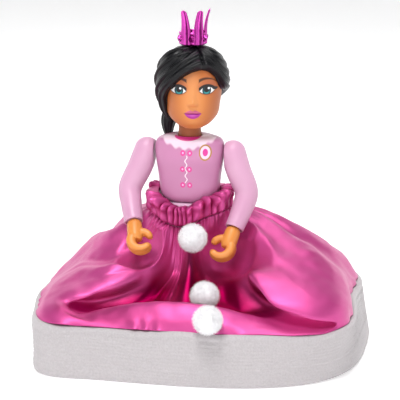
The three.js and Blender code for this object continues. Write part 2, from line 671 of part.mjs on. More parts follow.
function hair() {
  const cap = barrel(capStations, 11, 24, 2.15);
  const parts = [cut(cap, faceOpening()), hairTail(), fringeLock()];
  for (const places of LOCKS) {
    const path = places.map(([degrees, rise]) => underCap(degrees, rise * HAIR_TOP));
    const radii = path.map((_, i) => (i === 0 || i === path.length - 1 ? 0.35 : 1) * LOCK_RADIUS);
    parts.push(limb(path, radii, 7, 8));
  }
  return cut(join(...parts), barrelAroundHead(), crownHole());
}

/** Place just under the cap's face, at a turn from the front and a height above the chin. */
function underCap(degrees, height) {
  const sizes = spline(capStations.map(([width, depth, z]) => point(width, depth, z)));
  const middles = spline(capStations.map(([, , , y]) => point(0, y, 0)));
  const shares = Array.from({ length: 201 }, (_, i) => i / 200);
  const share = shares.find((value) => sizes.getPoint(value).z >= height);
  const size = sizes.getPoint(share);
  const turn = radians(degrees);
  const place = point(size.x * Math.sin(turn), -size.y * Math.cos(turn), 0);
  place.setLength(place.length() - LOCK_SINK);
  return place.add(point(0, middles.getPoint(share).y, height - LOCK_SINK / 2));
}

/** Lock along the lower edge of the fringe that hangs free at one cheek. */
function fringeLock() {
  const path = FRINGE_LOCK.map(([degrees, rise]) => underCap(degrees, rise * HAIR_TOP));
  path.push(point(-capWidth, -0.4 * capDepth, LOCK_HANG * HAIR_TOP));
  path.push(point(-0.9 * capWidth, -0.34 * capDepth, LOCK_TIP * HAIR_TOP));
  const radii = [0.35, 0.7, 0.8, 0.9, 1, 1.1, 1, 0.35].map((share) => share * LOCK_RADIUS);
  return limb(path, radii, 12, 9);
}

function hairTail() {
  const path = [
    point(-2, 0.78 * capDepth, NAPE_HEIGHT + 3),
    point(-0.52 * capWidth, 0.98 * capDepth, NAPE_HEIGHT - 1.5),
    point(-0.72 * capWidth, capDepth, -0.2 * TAIL_DROP),
    point(-0.7 * capWidth, 0.97 * capDepth, -TAIL_DROP),
  ];
  return limb(path, [TAIL_RADIUS, TAIL_RADIUS, 0.9 * TAIL_RADIUS, 0.35 * TAIL_RADIUS], 8, 10);
}

/** The skull grown by the clearance that the hair keeps to it. */
function barrelAroundHead() {
  const grown = headForm();
  const share = (half) => 1 + TOUCH_GAP / half;
  return grown.scale(share(HEAD_HALF_WIDTH), share(HEAD_HALF_DEPTH), share(HEAD_HEIGHT));
}

/** Open face under a fringe that sweeps from a high parting to one cheek. */
function faceOpening() {
  const cheek = mix(CHEEK_HEIGHT, TEMPLE_HEIGHT, 0.45);
  const outline = new THREE.Shape();
  outline.moveTo(1.5 * capWidth, -HEAD_HEIGHT);
  outline.lineTo(1.5 * capWidth, TEMPLE_HEIGHT);
  outline.lineTo(0.78 * capWidth, TEMPLE_HEIGHT + 0.5);
  outline.quadraticCurveTo(0.68 * capWidth, FRINGE_HEIGHT - 0.6, 0.3 * capWidth, FRINGE_HEIGHT);
  outline.quadraticCurveTo(-0.2 * capWidth, FRINGE_HEIGHT - 1.4, -0.52 * capWidth, TEMPLE_HEIGHT);
  outline.quadraticCurveTo(-0.74 * capWidth, cheek, -0.8 * capWidth, CHEEK_HEIGHT);
  outline.lineTo(-1.5 * capWidth, CHEEK_HEIGHT);
  outline.lineTo(-1.5 * capWidth, -HEAD_HEIGHT);
  const options = { depth: 2 * capDepth, bevelEnabled: false, curveSegments: 5 };
  const front = new THREE.ExtrudeGeometry(outline, options);
  return front.rotateX(Math.PI / 2).translate(0, 0.5, 0);
}

// Crown: a band on a floor and a pin, with prongs and bosses round one half
function crown() {
  const inner = CROWN_RADIUS - CROWN_WALL;
  const profile = [
    new THREE.Vector2(0, -CROWN_PIN_LENGTH),
    new THREE.Vector2(CROWN_PIN_RADIUS, -CROWN_PIN_LENGTH),
    new THREE.Vector2(CROWN_PIN_RADIUS, TOUCH_GAP),
    new THREE.Vector2(CROWN_RADIUS - 0.3, TOUCH_GAP),
    new THREE.Vector2(CROWN_RADIUS, TOUCH_GAP + 0.5),
    new THREE.Vector2(CROWN_RADIUS, CROWN_BAND),
    new THREE.Vector2(inner, CROWN_BAND),
    new THREE.Vector2(inner, TOUCH_GAP + CROWN_WALL),
    new THREE.Vector2(0, TOUCH_GAP + CROWN_WALL),
  ];
  const band = new THREE.LatheGeometry(profile, 24).rotateX(Math.PI / 2);
  const parts = [band];
  for (const step of [-1, 0, 1]) {
    parts.push(prong().rotateZ(radians(step * PRONG_SPACING)));
  }
  for (const step of [-1.5, -0.5, 0.5, 1.5]) {
    const boss = ball(BOSS_SIZE, point(0, -CROWN_RADIUS, 0.62 * CROWN_BAND), 8, 6);
    parts.push(boss.rotateZ(radians(step * PRONG_SPACING)));
  }
  return join(...parts);
}

/** Tall tapering blade whose tip bends outwards. */
function prong() {
  const steps = 6;
  const rings = Array.from({ length: steps + 1 }, (_, i) => {
    const height = mix(-CROWN_BAND / 2, PRONG_LENGTH, i / steps);
    const above = Math.max(0, height) / PRONG_LENGTH;
    const half = (PRONG_WIDTH / 2) * (1 - PRONG_TAPER * above);
    const out = CROWN_RADIUS - CROWN_WALL / 2 + PRONG_BEND * above ** 2;
    return ovalRing(half, CROWN_WALL / 2, 3, 10, -out, CROWN_BAND + height);
  });
  return loft(rings);
}

// Arms, with the shoulder axis at the origin and the outer side at +X
const armPath = [
  point(SLEEVE_OUT, 0, 0),
  point(mix(SLEEVE_OUT, ELBOW_OUT, 0.4), 0, -0.45 * ELBOW_DROP),
  point(ELBOW_OUT, 0, -ELBOW_DROP),
  point(mix(ELBOW_OUT, WRIST_OUT, 0.38), -0.4 * WRIST_FORWARD, -mix(ELBOW_DROP, WRIST_DROP, 0.5)),
  point(WRIST_OUT, -WRIST_FORWARD, -WRIST_DROP),
];
const armCurve = spline(armPath);
const forearmRadius = mix(ELBOW_RADIUS, CUFF_RADIUS, 0.5);
const sleeveRadii = [SLEEVE_TOP_RADIUS, SLEEVE_TOP_RADIUS, ELBOW_RADIUS, forearmRadius, CUFF_RADIUS];
const wristPoint = armPath[4];
const forearm = wristPoint.clone().sub(armPath[3]).normalize();

function arm() {
  const cap = ball(SLEEVE_TOP_RADIUS, point(SLEEVE_OUT, 0, 0));
  const sleeve = limb(armPath, sleeveRadii, 12, LIMB_SIDES);
  const far = 2 * WRIST_DROP;
  const bodySide = block(point(-far, -far, -far), point(0, far, far));
  const pegEnd = -(TOUCH_GAP + TORSO_WALL + PIN_PLAY + SHOULDER_FLANGE);
  const peg = join(
    rod(SHOULDER_PEG_RADIUS, point(pegEnd, 0, 0), point(1, 0, 0)),
    rod(SHOULDER_FLANGE_RADIUS, point(pegEnd, 0, 0), point(pegEnd + SHOULDER_FLANGE, 0, 0)),
  );
  const boreEnd = wristPoint.clone().addScaledVector(forearm, -(WRIST_PEG_LENGTH + TOUCH_GAP));
  const boreMouth = wristPoint.clone().addScaledVector(forearm, 1);
  const wristBore = rod(WRIST_PEG_RADIUS + PIN_PLAY, boreEnd, boreMouth, 16);
  return cut(join(cut(join(cap, sleeve), bodySide), peg), wristBore);
}

/** C-grip hand, the wrist at the origin, fingers towards -Z and the opening towards +X. */
function hand() {
  const steps = 14;
  const first = GRIP_OPENING_TILT + GRIP_OPENING / 2;
  const last = GRIP_OPENING_TILT - GRIP_OPENING / 2 + 360;
  const rings = Array.from({ length: steps + 1 }, (_, i) => {
    const angle = radians(mix(first, last, i / steps));
    const tip = i === 0 || i === steps ? 0.6 : 1;
    const section = ovalRing((tip * FINGER_THICKNESS) / 2, (tip * HAND_DEPTH) / 2, 3, 12, 0, 0);
    return section.map(({ x, y }) => {
      const reach = GRIP_RADIUS + FINGER_THICKNESS / 2 + x;
      return point(GRIP_INWARD + reach * Math.cos(angle), y, reach * Math.sin(angle) - GRIP_DROP);
    });
  });
  const rootEnd = GRIP_DROP - GRIP_RADIUS - 0.3 * FINGER_THICKNESS;
  const root = rod(PALM_RADIUS, point(0, 0, -TOUCH_GAP), point(0, 0, -rootEnd), 16);
  const peg = rod(WRIST_PEG_RADIUS, point(0, 0, WRIST_PEG_LENGTH), point(0, 0, -rootEnd), 16);
  return join(loft(rings), root, peg);
}

/** Turn that points a hand along the forearm with its opening towards the body. */
function handTurn() {
  const up = forearm.clone().negate();
  const inward = point(-1, 0, 0).addScaledVector(up, up.x).normalize();
  const across = up.clone().cross(inward);
  return new THREE.Matrix4().makeBasis(inward, across, up);
}

function wholeArm(side, mirror, swing) {
  const shoulder = new THREE.Group();
  shoulder.position.set(mirror * (SHOULDER_HALF_WIDTH + TOUCH_GAP), 0, SHOULDER_AXIS);
  shoulder.scale.x = mirror;
  shoulder.rotation.x = -radians(swing);
  shoulder.add(piece(`${side}_arm`, arm(), pinkPlastic()));
  const wrist = new THREE.Group();
  wrist.position.copy(wristPoint);
  wrist.quaternion.setFromRotationMatrix(handTurn());
  wrist.add(piece(`${side}_hand`, hand(), skinPlastic()));
  shoulder.add(wrist);
  shoulder.updateMatrixWorld(true);
  return shoulder;
}

const leftArm = wholeArm("left", 1, LEFT_ARM_SWING);
const rightArm = wholeArm("right", -1, RIGHT_ARM_SWING);

// Skirt: a sheet from the waist to the hem, in polar rows. Angles start at the front, and the
// doll's left is positive.
const outward = (angle) => point(Math.sin(angle), -Math.cos(angle), 0);

/** Distance from the middle of the doll to the hem's outer face. */
function hemReach(angle) {
  const depth = Math.cos(angle) > 0 ? HEM_FRONT : HEM_BACK;
  const width = Math.sin(angle) > 0 ? HEM_LEFT : HEM_RIGHT;
  const across = Math.abs(Math.sin(angle) / width) ** HEM_SQUARENESS;
  const along = Math.abs(Math.cos(angle) / depth) ** HEM_SQUARENESS;
  const fromCorner = THREE.MathUtils.radToDeg(angle) - HEM_CORNER_TURN;
  const corner = HEM_CORNER * Math.exp(-((fromCorner / HEM_CORNER_WIDTH) ** 2));
  return (across + along) ** (-1 / HEM_SQUARENESS) + corner;
}

/** Distance to an oval round the waist, offset outwards from the elastic's inner face. */
function waistReach(angle, offset) {
  const across = Math.sin(angle) / (ELASTIC_HALF_WIDTH + offset);
  const along = Math.cos(angle) / (ELASTIC_HALF_DEPTH + offset);
  return 1 / Math.hypot(across, along);
}

const RUFFLE_INNER = ELASTIC_THICKNESS + TOUCH_GAP;

function ruffleTop(angle) {
  const fromDip = THREE.MathUtils.radToDeg(angle) - RUFFLE_DIP_TURN;
  return WAIST + RUFFLE_ABOVE_SEAM - RUFFLE_DIP * Math.exp(-((fromDip / RUFFLE_DIP_WIDTH) ** 2));
}

function skirtTop(angle) {
  return ruffleTop(angle) - RUFFLE_HEIGHT - TOUCH_GAP;
}

/** 1 at a turn in degrees, falling away to both sides of it. */
function bell(angle, middle, width) {
  const off = angle - radians(middle);
  const degrees = THREE.MathUtils.radToDeg(Math.atan2(Math.sin(off), Math.cos(off)));
  return Math.exp(-((degrees / width) ** 2));
}

/** How far the hem's top lies inside its foot. */
function hemFlare(angle) {
  const lean = HEM_LEAN * bell(angle, HEM_LEAN_TURN, HEM_LEAN_WIDTH);
  return HEM_FLARE * bell(angle, HEM_FLARE_TURN, HEM_FLARE_WIDTH) - lean;
}

/** Distances and heights of the cloth at the waist and at the hem. */
function skirtRims(angle) {
  return {
    start: waistReach(angle, RUFFLE_INNER + RUFFLE_THICKNESS / 2),
    top: skirtTop(angle),
    end: hemReach(angle) - HEM_THICKNESS / 2 - hemFlare(angle),
    foot: HEM_HEIGHT + TOUCH_GAP,
  };
}

function puffProfile(angle, share) {
  const { start, top, end, foot } = skirtRims(angle);
  const left = bell(angle, LEFT_PUFF_TURN, LEFT_PUFF_WIDTH);
  const back = bell(angle, 180, BACK_PUFF_WIDTH) * (1 - left);
  const right = 1 - left - back;
  const fullness = RIGHT_PUFF * right + LEFT_PUFF * left + BACK_PUFF * back;
  const out = RIGHT_PUFF_OUT * right + LEFT_PUFF_OUT * left + BACK_PUFF_OUT * back;
  const fall = LEFT_PUFF_FALL * left + BACK_PUFF_FALL * back;
  const curve = new THREE.CubicBezierCurve(
    new THREE.Vector2(start, top),
    new THREE.Vector2(mix(start, end, 0.35), top - fall),
    new THREE.Vector2(mix(start, end, out), mix(foot, top, fullness)),
    new THREE.Vector2(end, foot),
  );
  return curve.getPoint(share);
}

function valleyProfile(angle, share) {
  const { start, top, end, foot } = skirtRims(angle);
  const wider = hemReach(angle) / HEM_FRONT;
  const floor = VALLEY_FLOOR_RADIUS * wider;
  const lip = LIP_RADIUS * wider;
  const aside = (THREE.MathUtils.radToDeg(angle) - LIP_TURN) / LIP_WIDTH;
  const lipHeight = LIP_HEIGHT - LIP_FALL * Math.min(aside ** 2, 1.4);
  const curve = new THREE.SplineCurve([
    new THREE.Vector2(start, top),
    new THREE.Vector2(mix(start, floor, 0.1), top - VALLEY_TOP_FALL),
    new THREE.Vector2(mix(start, floor, 0.55), mix(top, VALLEY_FLOOR_HEIGHT, 0.85)),
    new THREE.Vector2(floor, VALLEY_FLOOR_HEIGHT),
    new THREE.Vector2(mix(floor, lip, 0.6), mix(VALLEY_FLOOR_HEIGHT, lipHeight, 0.75)),
    new THREE.Vector2(lip, lipHeight),
    new THREE.Vector2(mix(lip, end, 0.65), mix(lipHeight, HEM_HEIGHT, 0.5)),
    new THREE.Vector2(end, foot),
  ]);
  return curve.getPoint(share);
}

/** How far a place lies in the hollow between the two puffs: 1 inside, 0 outside and round its right end. */
function valleyShare(turn, share) {
  const degrees = THREE.MathUtils.radToDeg(turn);
  const outside = smooth(Math.abs(degrees), VALLEY_TURN - VALLEY_SOFTNESS, VALLEY_TURN + VALLEY_SOFTNESS);
  const panel = Math.exp(-(((degrees - PANEL_TURN) / PANEL_WIDTH) ** 2)) * (1 - smooth(share, 0.05, 0.45));
  const curl = smooth(-degrees, CURL_START, CURL_END) * smooth(share, 0.68, 0.82);
  return (1 - outside) * (1 - PANEL_RISE * panel) * (1 - curl);
}

/** Degrees from the front at which a puff folds into the hollow: wide round the arms, then out to the hem. */
function foldEdge(turn, share) {
  if (turn > 0) {
    const under = mix(LEFT_ARM_ROOM, LEFT_FOLD, smooth(share, 0.05, 0.45));
    return under + LEFT_FOLD_SPREAD * smooth(share, 0.68, 1);
  }
  const under = mix(RIGHT_ARM_ROOM, RIGHT_FOLD, smooth(share, 0.05, 0.35));
  const tuck = RIGHT_FOLD_TUCK * Math.exp(-(((share - 0.44) / 0.06) ** 2));
  return under - tuck - RIGHT_FOLD_CURL * smooth(share, 0.8, 0.95);
}

/** Where a thread of the cloth lies round the figure, so that the threads follow the folds. */
function threadAngle(turn, share) {
  const spread = radians(foldEdge(turn, share) - VALLEY_TURN);
  return turn + (spread * Math.sin(turn)) / Math.sin(radians(VALLEY_TURN));
}

/** Height of the long soft folds, level at both rims. */
function longFold(turn, share) {
  const drift = LONG_FOLD_DRIFT * Math.sin(3 * turn + 1);
  return LONG_FOLD_DEPTH * Math.sin(LONG_FOLDS * turn + drift + 1.5 * share) * Math.sin(Math.PI * share);
}

/** The cloth as it would fall by itself. */
function freePlace(turn, share) {
  const angle = threadAngle(turn, share);
  const inside = valleyShare(turn, share);
  const puff = puffProfile(angle, share);
  const valley = valleyProfile(angle, share);
  const place = outward(angle).multiplyScalar(mix(puff.x, valley.x, inside));
  place.z = mix(puff.y, valley.y, inside) + (1 - inside) * longFold(turn, share);
  return place;
}

/** Balls that the cloth gives way to: the sweep of the forearms and hands, and the pompoms. */
function pressedBalls() {
  const balls = [];
  for (const shoulder of [leftArm, rightArm]) {
    const grip = wristPoint.clone().addScaledVector(forearm, GRIP_DROP).applyMatrix4(shoulder.matrixWorld);
    const handReach = Math.hypot(GRIP_INWARD + GRIP_RADIUS + FINGER_THICKNESS, HAND_DEPTH / 2);
    balls.push({ centre: grip, radius: handReach + HAND_ROOM });
    for (let share = 0.5; share <= 1; share += 0.1) {
      const centre = armCurve.getPoint(share).applyMatrix4(shoulder.matrixWorld);
      balls.push({ centre, radius: mix(ELBOW_RADIUS, CUFF_RADIUS, 2 * share - 1) + CLOTH_ROOM });
    }
  }
  for (const centre of pompomCentres()) {
    balls.push({ centre, radius: POMPOM_RADIUS + POMPOM_SEAT });
  }
  return balls;
}

function pompomCentres() {
  const seats = [
    [POMPOM_TOP_TURN, POMPOM_TOP_SHARE],
    [POMPOM_MIDDLE_TURN, POMPOM_MIDDLE_SHARE],
    [POMPOM_BOTTOM_TURN, POMPOM_BOTTOM_SHARE],
  ];
  return seats.map(([degrees, share]) => {
    const turn = radians(degrees);
    const normal = sheetNormal(freePlace, turn, share);
    return freePlace(turn, share).addScaledVector(normal, POMPOM_RADIUS + TOUCH_GAP);
  });
}

const pressed = pressedBalls();

/** The cloth pressed clear of what lies on it. */
function skirtPlace(turn, share) {
  const place = freePlace(turn, share);
  const rimward = Math.min(1, 12 * share, 12 * (1 - share));
  for (const { centre, radius } of [...pressed, ...pressed]) {
    const away = place.clone().sub(centre);
    const short = radius - away.length();
    if (short > 0) {
      place.addScaledVector(away.normalize(), short * rimward);
    }
  }
  place.z = Math.min(place.z, skirtTop(threadAngle(turn, share)));
  return place;
}

/** Outward normal of a sheet given by its places, level at the lower rim. */
function sheetNormal(placeAt, turn, share) {
  const step = 0.01;
  const round = placeAt(turn + step, share).sub(placeAt(turn - step, share));
  const down = placeAt(turn, Math.min(1, share + step)).sub(placeAt(turn, Math.max(0, share - step)));
  return share === 1 ? outward(turn) : round.cross(down).normalize().negate();
}

/** Turns of the skirt's threads, closer together in front where the folds are. */
function skirtTurns() {
  return Array.from({ length: SKIRT_SIDES }, (_, i) => {
    const even = (2 * Math.PI * (i + 0.5)) / SKIRT_SIDES - Math.PI;
    return even - FRONT_CROWDING * Math.sin(even);
  });
}

function skirt() {
  const turns = skirtTurns();
  const outer = [];
  const inner = [];
  for (let row = 0; row <= SKIRT_ROWS; row++) {
    const share = row / SKIRT_ROWS;
    outer.push(turns.map((turn) => skirtPlace(turn, share)));
    inner.push(turns.map((turn) => {
      const normal = sheetNormal(skirtPlace, turn, share);
      const place = skirtPlace(turn, share).addScaledVector(normal, -SKIRT_THICKNESS);
      return place.setZ(Math.max(place.z, HEM_HEIGHT + TOUCH_GAP));
    }));
  }
  return loft([...outer, ...inner.reverse()], true);
}

/** Band round the skirt from a closed section of [offset, height] places that may change with the angle. */
function bandRound(count, section, reach) {
  const angles = Array.from({ length: count }, (_, i) => (2 * Math.PI * i) / count - Math.PI);
  const rows = section(0).length;
  const rings = Array.from({ length: rows }, (_, row) => {
    return angles.map((angle) => {
      const [offset, height] = section(angle)[row];
      const place = outward(angle).multiplyScalar(reach(angle, offset, height));
      place.z = height;
      return place;
    });
  });
  return loft(rings, true);
}

function waistElastic() {
  const section = (angle) => {
    const foot = ruffleTop(angle) - RUFFLE_HEIGHT + (RUFFLE_HEIGHT - ELASTIC_HEIGHT) / 2;
    const top = foot + ELASTIC_HEIGHT;
    return [
      [0, foot],
      [ELASTIC_THICKNESS, foot],
      [ELASTIC_THICKNESS, top],
      [0, top],
    ];
  };
  return bandRound(32, section, waistReach);
}

function waistRuffle() {
  const section = (angle) => {
    const top = ruffleTop(angle);
    const foot = top - RUFFLE_HEIGHT;
    const pleat = PLEAT_DEPTH * Math.cos(RUFFLE_PLEATS * angle);
    const outer = RUFFLE_INNER + RUFFLE_THICKNESS;
    return [
      [RUFFLE_INNER, foot],
      [outer, foot],
      [outer + pleat, foot + 0.3 * RUFFLE_HEIGHT],
      [outer - PLEAT_DEPTH, foot + 0.62 * RUFFLE_HEIGHT],
      [outer + RUFFLE_FLARE + pleat, top - 0.2 * RUFFLE_HEIGHT],
      [outer - RUFFLE_FLARE + pleat, top],
      [RUFFLE_CURL, top],
      [RUFFLE_INNER, foot + (RUFFLE_HEIGHT + ELASTIC_HEIGHT) / 2 + TOUCH_GAP],
    ];
  };
  return bandRound(3 * RUFFLE_PLEATS, section, waistReach);
}

function fleeceHem() {
  const edge = HEM_THICKNESS * 0.3;
  const section = () => [
    [-HEM_THICKNESS, 0],
    [-edge, 0],
    [0, edge],
    [0, HEM_HEIGHT - edge],
    [-edge, HEM_HEIGHT],
    [-HEM_THICKNESS, HEM_HEIGHT],
  ];
  return bandRound(52, section, (angle, offset, height) => {
    return hemReach(angle) - (hemFlare(angle) * height) / HEM_HEIGHT + offset;
  });
}

// Assembly, moved so that the hem's middle lies at the origin
const doll = new THREE.Group();
doll.position.x = (HEM_RIGHT - HEM_LEFT) / 2;

const dress = new THREE.Group();
dress.add(piece("waist_elastic", waistElastic(), material(0xf4f0f2, 0.8)));
dress.add(piece("waist_ruffle", waistRuffle(), satin()));
dress.add(piece("skirt", skirt(), satin()));
dress.add(piece("fleece_hem", fleeceHem(), fleece()));
["pompom_top", "pompom_middle", "pompom_bottom"].forEach((name, i) => {
  dress.add(piece(name, ball(POMPOM_RADIUS, pompomCentres()[i], 14, 9), material(0xffffff, 1)));
});
doll.add(dress);

doll.add(piece("hip_block", hips(), palePlastic()));
doll.add(piece("hip_axle", hipAxle(), pinMetal()));
doll.add(leg("left", 1));
doll.add(leg("right", -1));

const torso = new THREE.Group();
torso.position.z = WAIST;
torso.add(piece("torso_front", torsoHalf(-1), pinkPlastic()));
torso.add(piece("torso_back", torsoHalf(1), pinkPlastic()));
doll.add(torso);
doll.add(piece("neck", neck(), skinPlastic()));
doll.add(leftArm);
doll.add(rightArm);

const headGroup = new THREE.Group();
headGroup.position.set(HEAD_ASIDE, 0, CHIN);
headGroup.rotation.z = radians(HEAD_TURN);
headGroup.add(piece("head", head(), skinPlastic()));
headGroup.add(piece("hair", hair(), hairPlastic()));
const crownGroup = new THREE.Group();
crownGroup.position.z = HAIR_TOP;
crownGroup.rotation.z = radians(CROWN_TURN);
crownGroup.add(piece("crown", crown(), material(0xc4148c, 0.2, 0.9)));
headGroup.add(crownGroup);
doll.add(headGroup);

export default doll;
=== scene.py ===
"""Looks of a dressed play doll: a jointed plastic figure in a satin skirt with a fleece hem."""
import math

import bmesh
import bpy
import numpy as np
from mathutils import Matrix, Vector, noise


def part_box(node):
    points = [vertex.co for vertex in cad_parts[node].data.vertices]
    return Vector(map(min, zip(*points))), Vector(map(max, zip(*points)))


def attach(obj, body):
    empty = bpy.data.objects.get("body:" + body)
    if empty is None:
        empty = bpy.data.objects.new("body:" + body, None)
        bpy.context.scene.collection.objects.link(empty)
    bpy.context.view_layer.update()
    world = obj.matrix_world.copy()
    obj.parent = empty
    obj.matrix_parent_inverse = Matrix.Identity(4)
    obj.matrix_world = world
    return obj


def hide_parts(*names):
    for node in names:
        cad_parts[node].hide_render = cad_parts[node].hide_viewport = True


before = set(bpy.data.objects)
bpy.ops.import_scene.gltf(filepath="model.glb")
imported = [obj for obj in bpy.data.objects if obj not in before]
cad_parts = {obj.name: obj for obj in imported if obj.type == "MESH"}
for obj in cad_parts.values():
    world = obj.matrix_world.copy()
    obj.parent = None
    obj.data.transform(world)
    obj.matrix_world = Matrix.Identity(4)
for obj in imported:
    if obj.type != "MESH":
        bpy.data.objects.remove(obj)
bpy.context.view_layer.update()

# Sizes are in millimetres and degrees. The figure's own axis is x = 0 while a form is made, and each
# form is moved to the frame's axes and scaled to metres when it becomes a piece.
MM = 0.001


def node_middle(node):
    """Middle of a solid of the frame, in millimetres."""
    low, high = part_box(node)
    return np.array((low + high) / 2) / MM


FIGURE_PLACE = np.array((node_middle("neck")[0], 0, 0))

# Levels of the figure
WAIST = 42.3
TORSO_HEIGHT = 19
COLLAR = WAIST + TORSO_HEIGHT
SHOULDER_AXIS = COLLAR - 4.8
CHIN = COLLAR + 3.2
HEAD_HEIGHT = 21

# Torso and neck
TORSO_WALL = 1.2
TORSO_SQUARENESS = 2.6
TORSO_FOOT = (6.4, 4.3)  # half width, half depth
TORSO_WAIST = (8.5, 5.4)
TORSO_CHEST = (9.7, 6.1)
TORSO_SHOULDER = (10, 5.3)
TORSO_COLLAR = (6, 4.2)
COLLAR_BEND = (4.6, 4.0)
HIPS = (7.3, 5.1)
SEAM_GAP = 0.12
NECK_RADIUS = 3.4
NECK_MIDDLE_RADIUS = NECK_RADIUS - 0.25
NECK_BORE = NECK_RADIUS + 0.25
NECK_INSIDE_HEAD = 5.5

# Head and hair
HEAD_TURN = 10.7
HEAD_ASIDE = 0.9  # middle of the head from the neck's axis
HEAD_HALF_WIDTH = 8.3
HEAD_HALF_DEPTH = 8.7
JAW_HALF_WIDTH = 7.1
HEAD_SQUARENESS = 2.15
NOSE_HEIGHT = 7.6
EYE_APART = 4.0  # eye from the middle line
EYE_HEIGHT = 11.0
MOUTH_HEIGHT = 4.5
HAIR_THICKNESS = 1.7
HAIR_TOP = HEAD_HEIGHT + HAIR_THICKNESS
HAIR_HALF_WIDTH = HEAD_HALF_WIDTH + HAIR_THICKNESS
HAIR_HALF_DEPTH = HEAD_HALF_DEPTH + HAIR_THICKNESS
HAIR_WALL = 1.1
PART_TURN = 19
COMB_PITCH = 3.1  # height of a combed lock

# Flat map of the painted pieces
PAINT_SPAN = 50  # millimetres that the map covers
PAINT_CLEAR = 40  # height on the map where nothing is painted

# Arms and hands
ARM_SWING = {"left": 10, "right": 18}
SHOULDER_OUT = 10.3  # shoulder face from the figure's middle
SLEEVE_OUT = 2.3
SLEEVE_RADIUS = 3.6
ELBOW_RADIUS = 3.35
CUFF_RADIUS = 2.65
# Round the cuff's edge and into it: share of the radius, distance past the wrist
CUFF_EDGE = ((0.97, 0.08), (0.86, 0.05), (0.84, -0.35), (0.3, -0.4))
ELBOW = (6.5, 0, -11.2)
WRIST = (4, -4, -21.3)
PALM_RADIUS = 2.2
PEG_RADIUS = 1.2
GRIP_RADIUS = 1.65
GRIP_DROP = 6.7
GRIP_INWARD = 1.3
FINGER_THICKNESS = 2.3
FINGER_GROOVE = 0.16
HAND_DEPTH = 4.2
HAND_SQUARENESS = 2.8
GRIP_OPENING = 44
GRIP_TILT = -15

# Crown
CROWN_TURN = 27
CROWN_RADIUS = 4
CROWN_WALL = 0.9
CROWN_BAND = 4
CROWN_FLOOR = (0.3, 1.2)  # under side and upper side
CROWN_PIN = (1, -2.6)  # radius and foot
PRONG_LENGTH = 6.4
PRONG_HALF_WIDTH = 1.55
PRONG_TAPER = 0.42  # share of the width lost towards the tip
PRONG_BEND = 1.3  # how far the tip bends outwards
PRONG_SPACING = 60

# Waist and skirt; a pair that is named a place is a turn from the front and a width
WAIST_OVAL = (9.1, 6.0)  # inner half sizes of the elastic
RUFFLE_INNER = 1.1
RUFFLE_PLEATS = 32
RUFFLE_COLUMNS = 1200
RUFFLE_THICKNESS = 1.8
RUFFLE_HEIGHT = 5
RUFFLE_RISE = 3.2
RUFFLE_DIP = 4.4
RUFFLE_DIP_PLACE = (-12, 52)
RUFFLE_BUNCHES = ((1, -58, 26), (1, 46, 20), (0.6, 180, 70))  # fullness, turn, width
RIM_GAP = 0.3  # between the cloth and the ruffle or the hem
CLOTH_THICKNESS = 0.35
SKIRT_ROWS = 104
SKIRT_COLUMNS = 478
FRONT_CROWDING = 0.42  # how much closer the columns lie in front
HEM_RIGHT = 43.5
HEM_LEFT = 52
HEM_FRONT = 41.5
HEM_BACK = 46
HEM_SQUARENESS = 2.8
HEM_CORNER = 5.5
HEM_CORNER_PLACE = (-42, 12)
HEM_HEIGHT = 15
HEM_THICKNESS = 2.8
HEM_EDGE = 0.1  # share of the height that its round edges take
HEM_RIBS = 15  # level ribs of the fleece
# Share of the height, depth and slope
HEM_CREASES = ((0.22, 0.12, 0.02), (0.36, 0.14, -0.02), (0.52, 0.1, 0.03), (0.88, 0.4, 0.0))
HEM_FLARE = 3.9  # how far the hem's left side leans in towards its top
HEM_FLARE_PLACE = (94, 20)
HEM_LEAN = 4  # how far its front left corner leans out towards its top
HEM_LEAN_PLACE = (56, 14)
VALLEY_FLOOR = (26, 16.8)  # distance from the figure's axis, height
VALLEY_TOP_FALL = 12
LIP = (34.5, 21.8)
LIP_FALL = 3.6  # how far the lip sinks at the ends of the hollow
LIP_LOWEST = 1.4  # share of that fall at which it stops
LIP_PLACE = (4, 33)
VALLEY_TURN = 45  # threads that follow the edges of the hollow
VALLEY_SOFTNESS = 7
HAND_SOFTNESS = 10  # how much softer the edges are beside the hands
LEFT_ARM_ROOM = 66  # edges of the hollow just under the waist, where the forearms lie
RIGHT_ARM_ROOM = 27  # under the right hand, where its ridge starts
LEFT_FOLD = 46  # edges of the hollow half way down
RIGHT_FOLD = 42
LEFT_FOLD_SPREAD = 13  # how far the left edge swings out towards the hem
RIGHT_FOLD_CURL = 8  # how far the right edge curls in at the hem
ROLL_TURN = 8  # how far the puffs roll over the hollow
PANEL_PLACE = (8.2, 8.2)
PANEL_RISE = 0.75
RIGHT_PUFF = 0.25  # fullness of the puffs, as a share of their height
LEFT_PUFF = 0.66
BACK_PUFF = 0.6
RIGHT_PUFF_OUT = 0.845  # how far out the puffs are full, as a share of the cloth's width
LEFT_PUFF_OUT = 1.0
LEFT_PUFF_PLACE = (72, 40)
BACK_PLACE = (180, 46)
SLOPE_OUT = 0.35  # share of the cloth's width that its first slope takes
LEFT_PUFF_FALL = 6.5  # slope of the cloth under the waist
BACK_FALL = 7
RIGHT_HAND_FALL = 15  # how far the cloth sinks under the hands
RIGHT_HAND_PLACE = (-50, 28)
LEFT_HAND_FALL = 6
LEFT_HAND_PLACE = (52, 12)
RIGHT_SIDE_FALL = 3  # how much straighter its right side falls
RIGHT_SIDE_SLACK = 0.06
RIGHT_SIDE_PLACE = (-95, 32)
RIGHT_SHELF = 0.18  # how much fuller it is in front of the right hand
RIGHT_SHELF_PLACE = (-47, 20)
LONG_FOLDS = 10  # soft folds round the skirt
LONG_FOLD_DEPTH = 1.1
LONG_FOLD_DRIFT = 0.8
HAND_PRESS = (5.9, 4.4)  # room that the cloth leaves, and how softly it bends away
FOREARM_PRESS = (0.95, 3.4)  # room round the sleeve
POMPOM_PRESS = (0.6, 1.5)  # room round the ball
GATHER_HEIGHT = 0.45
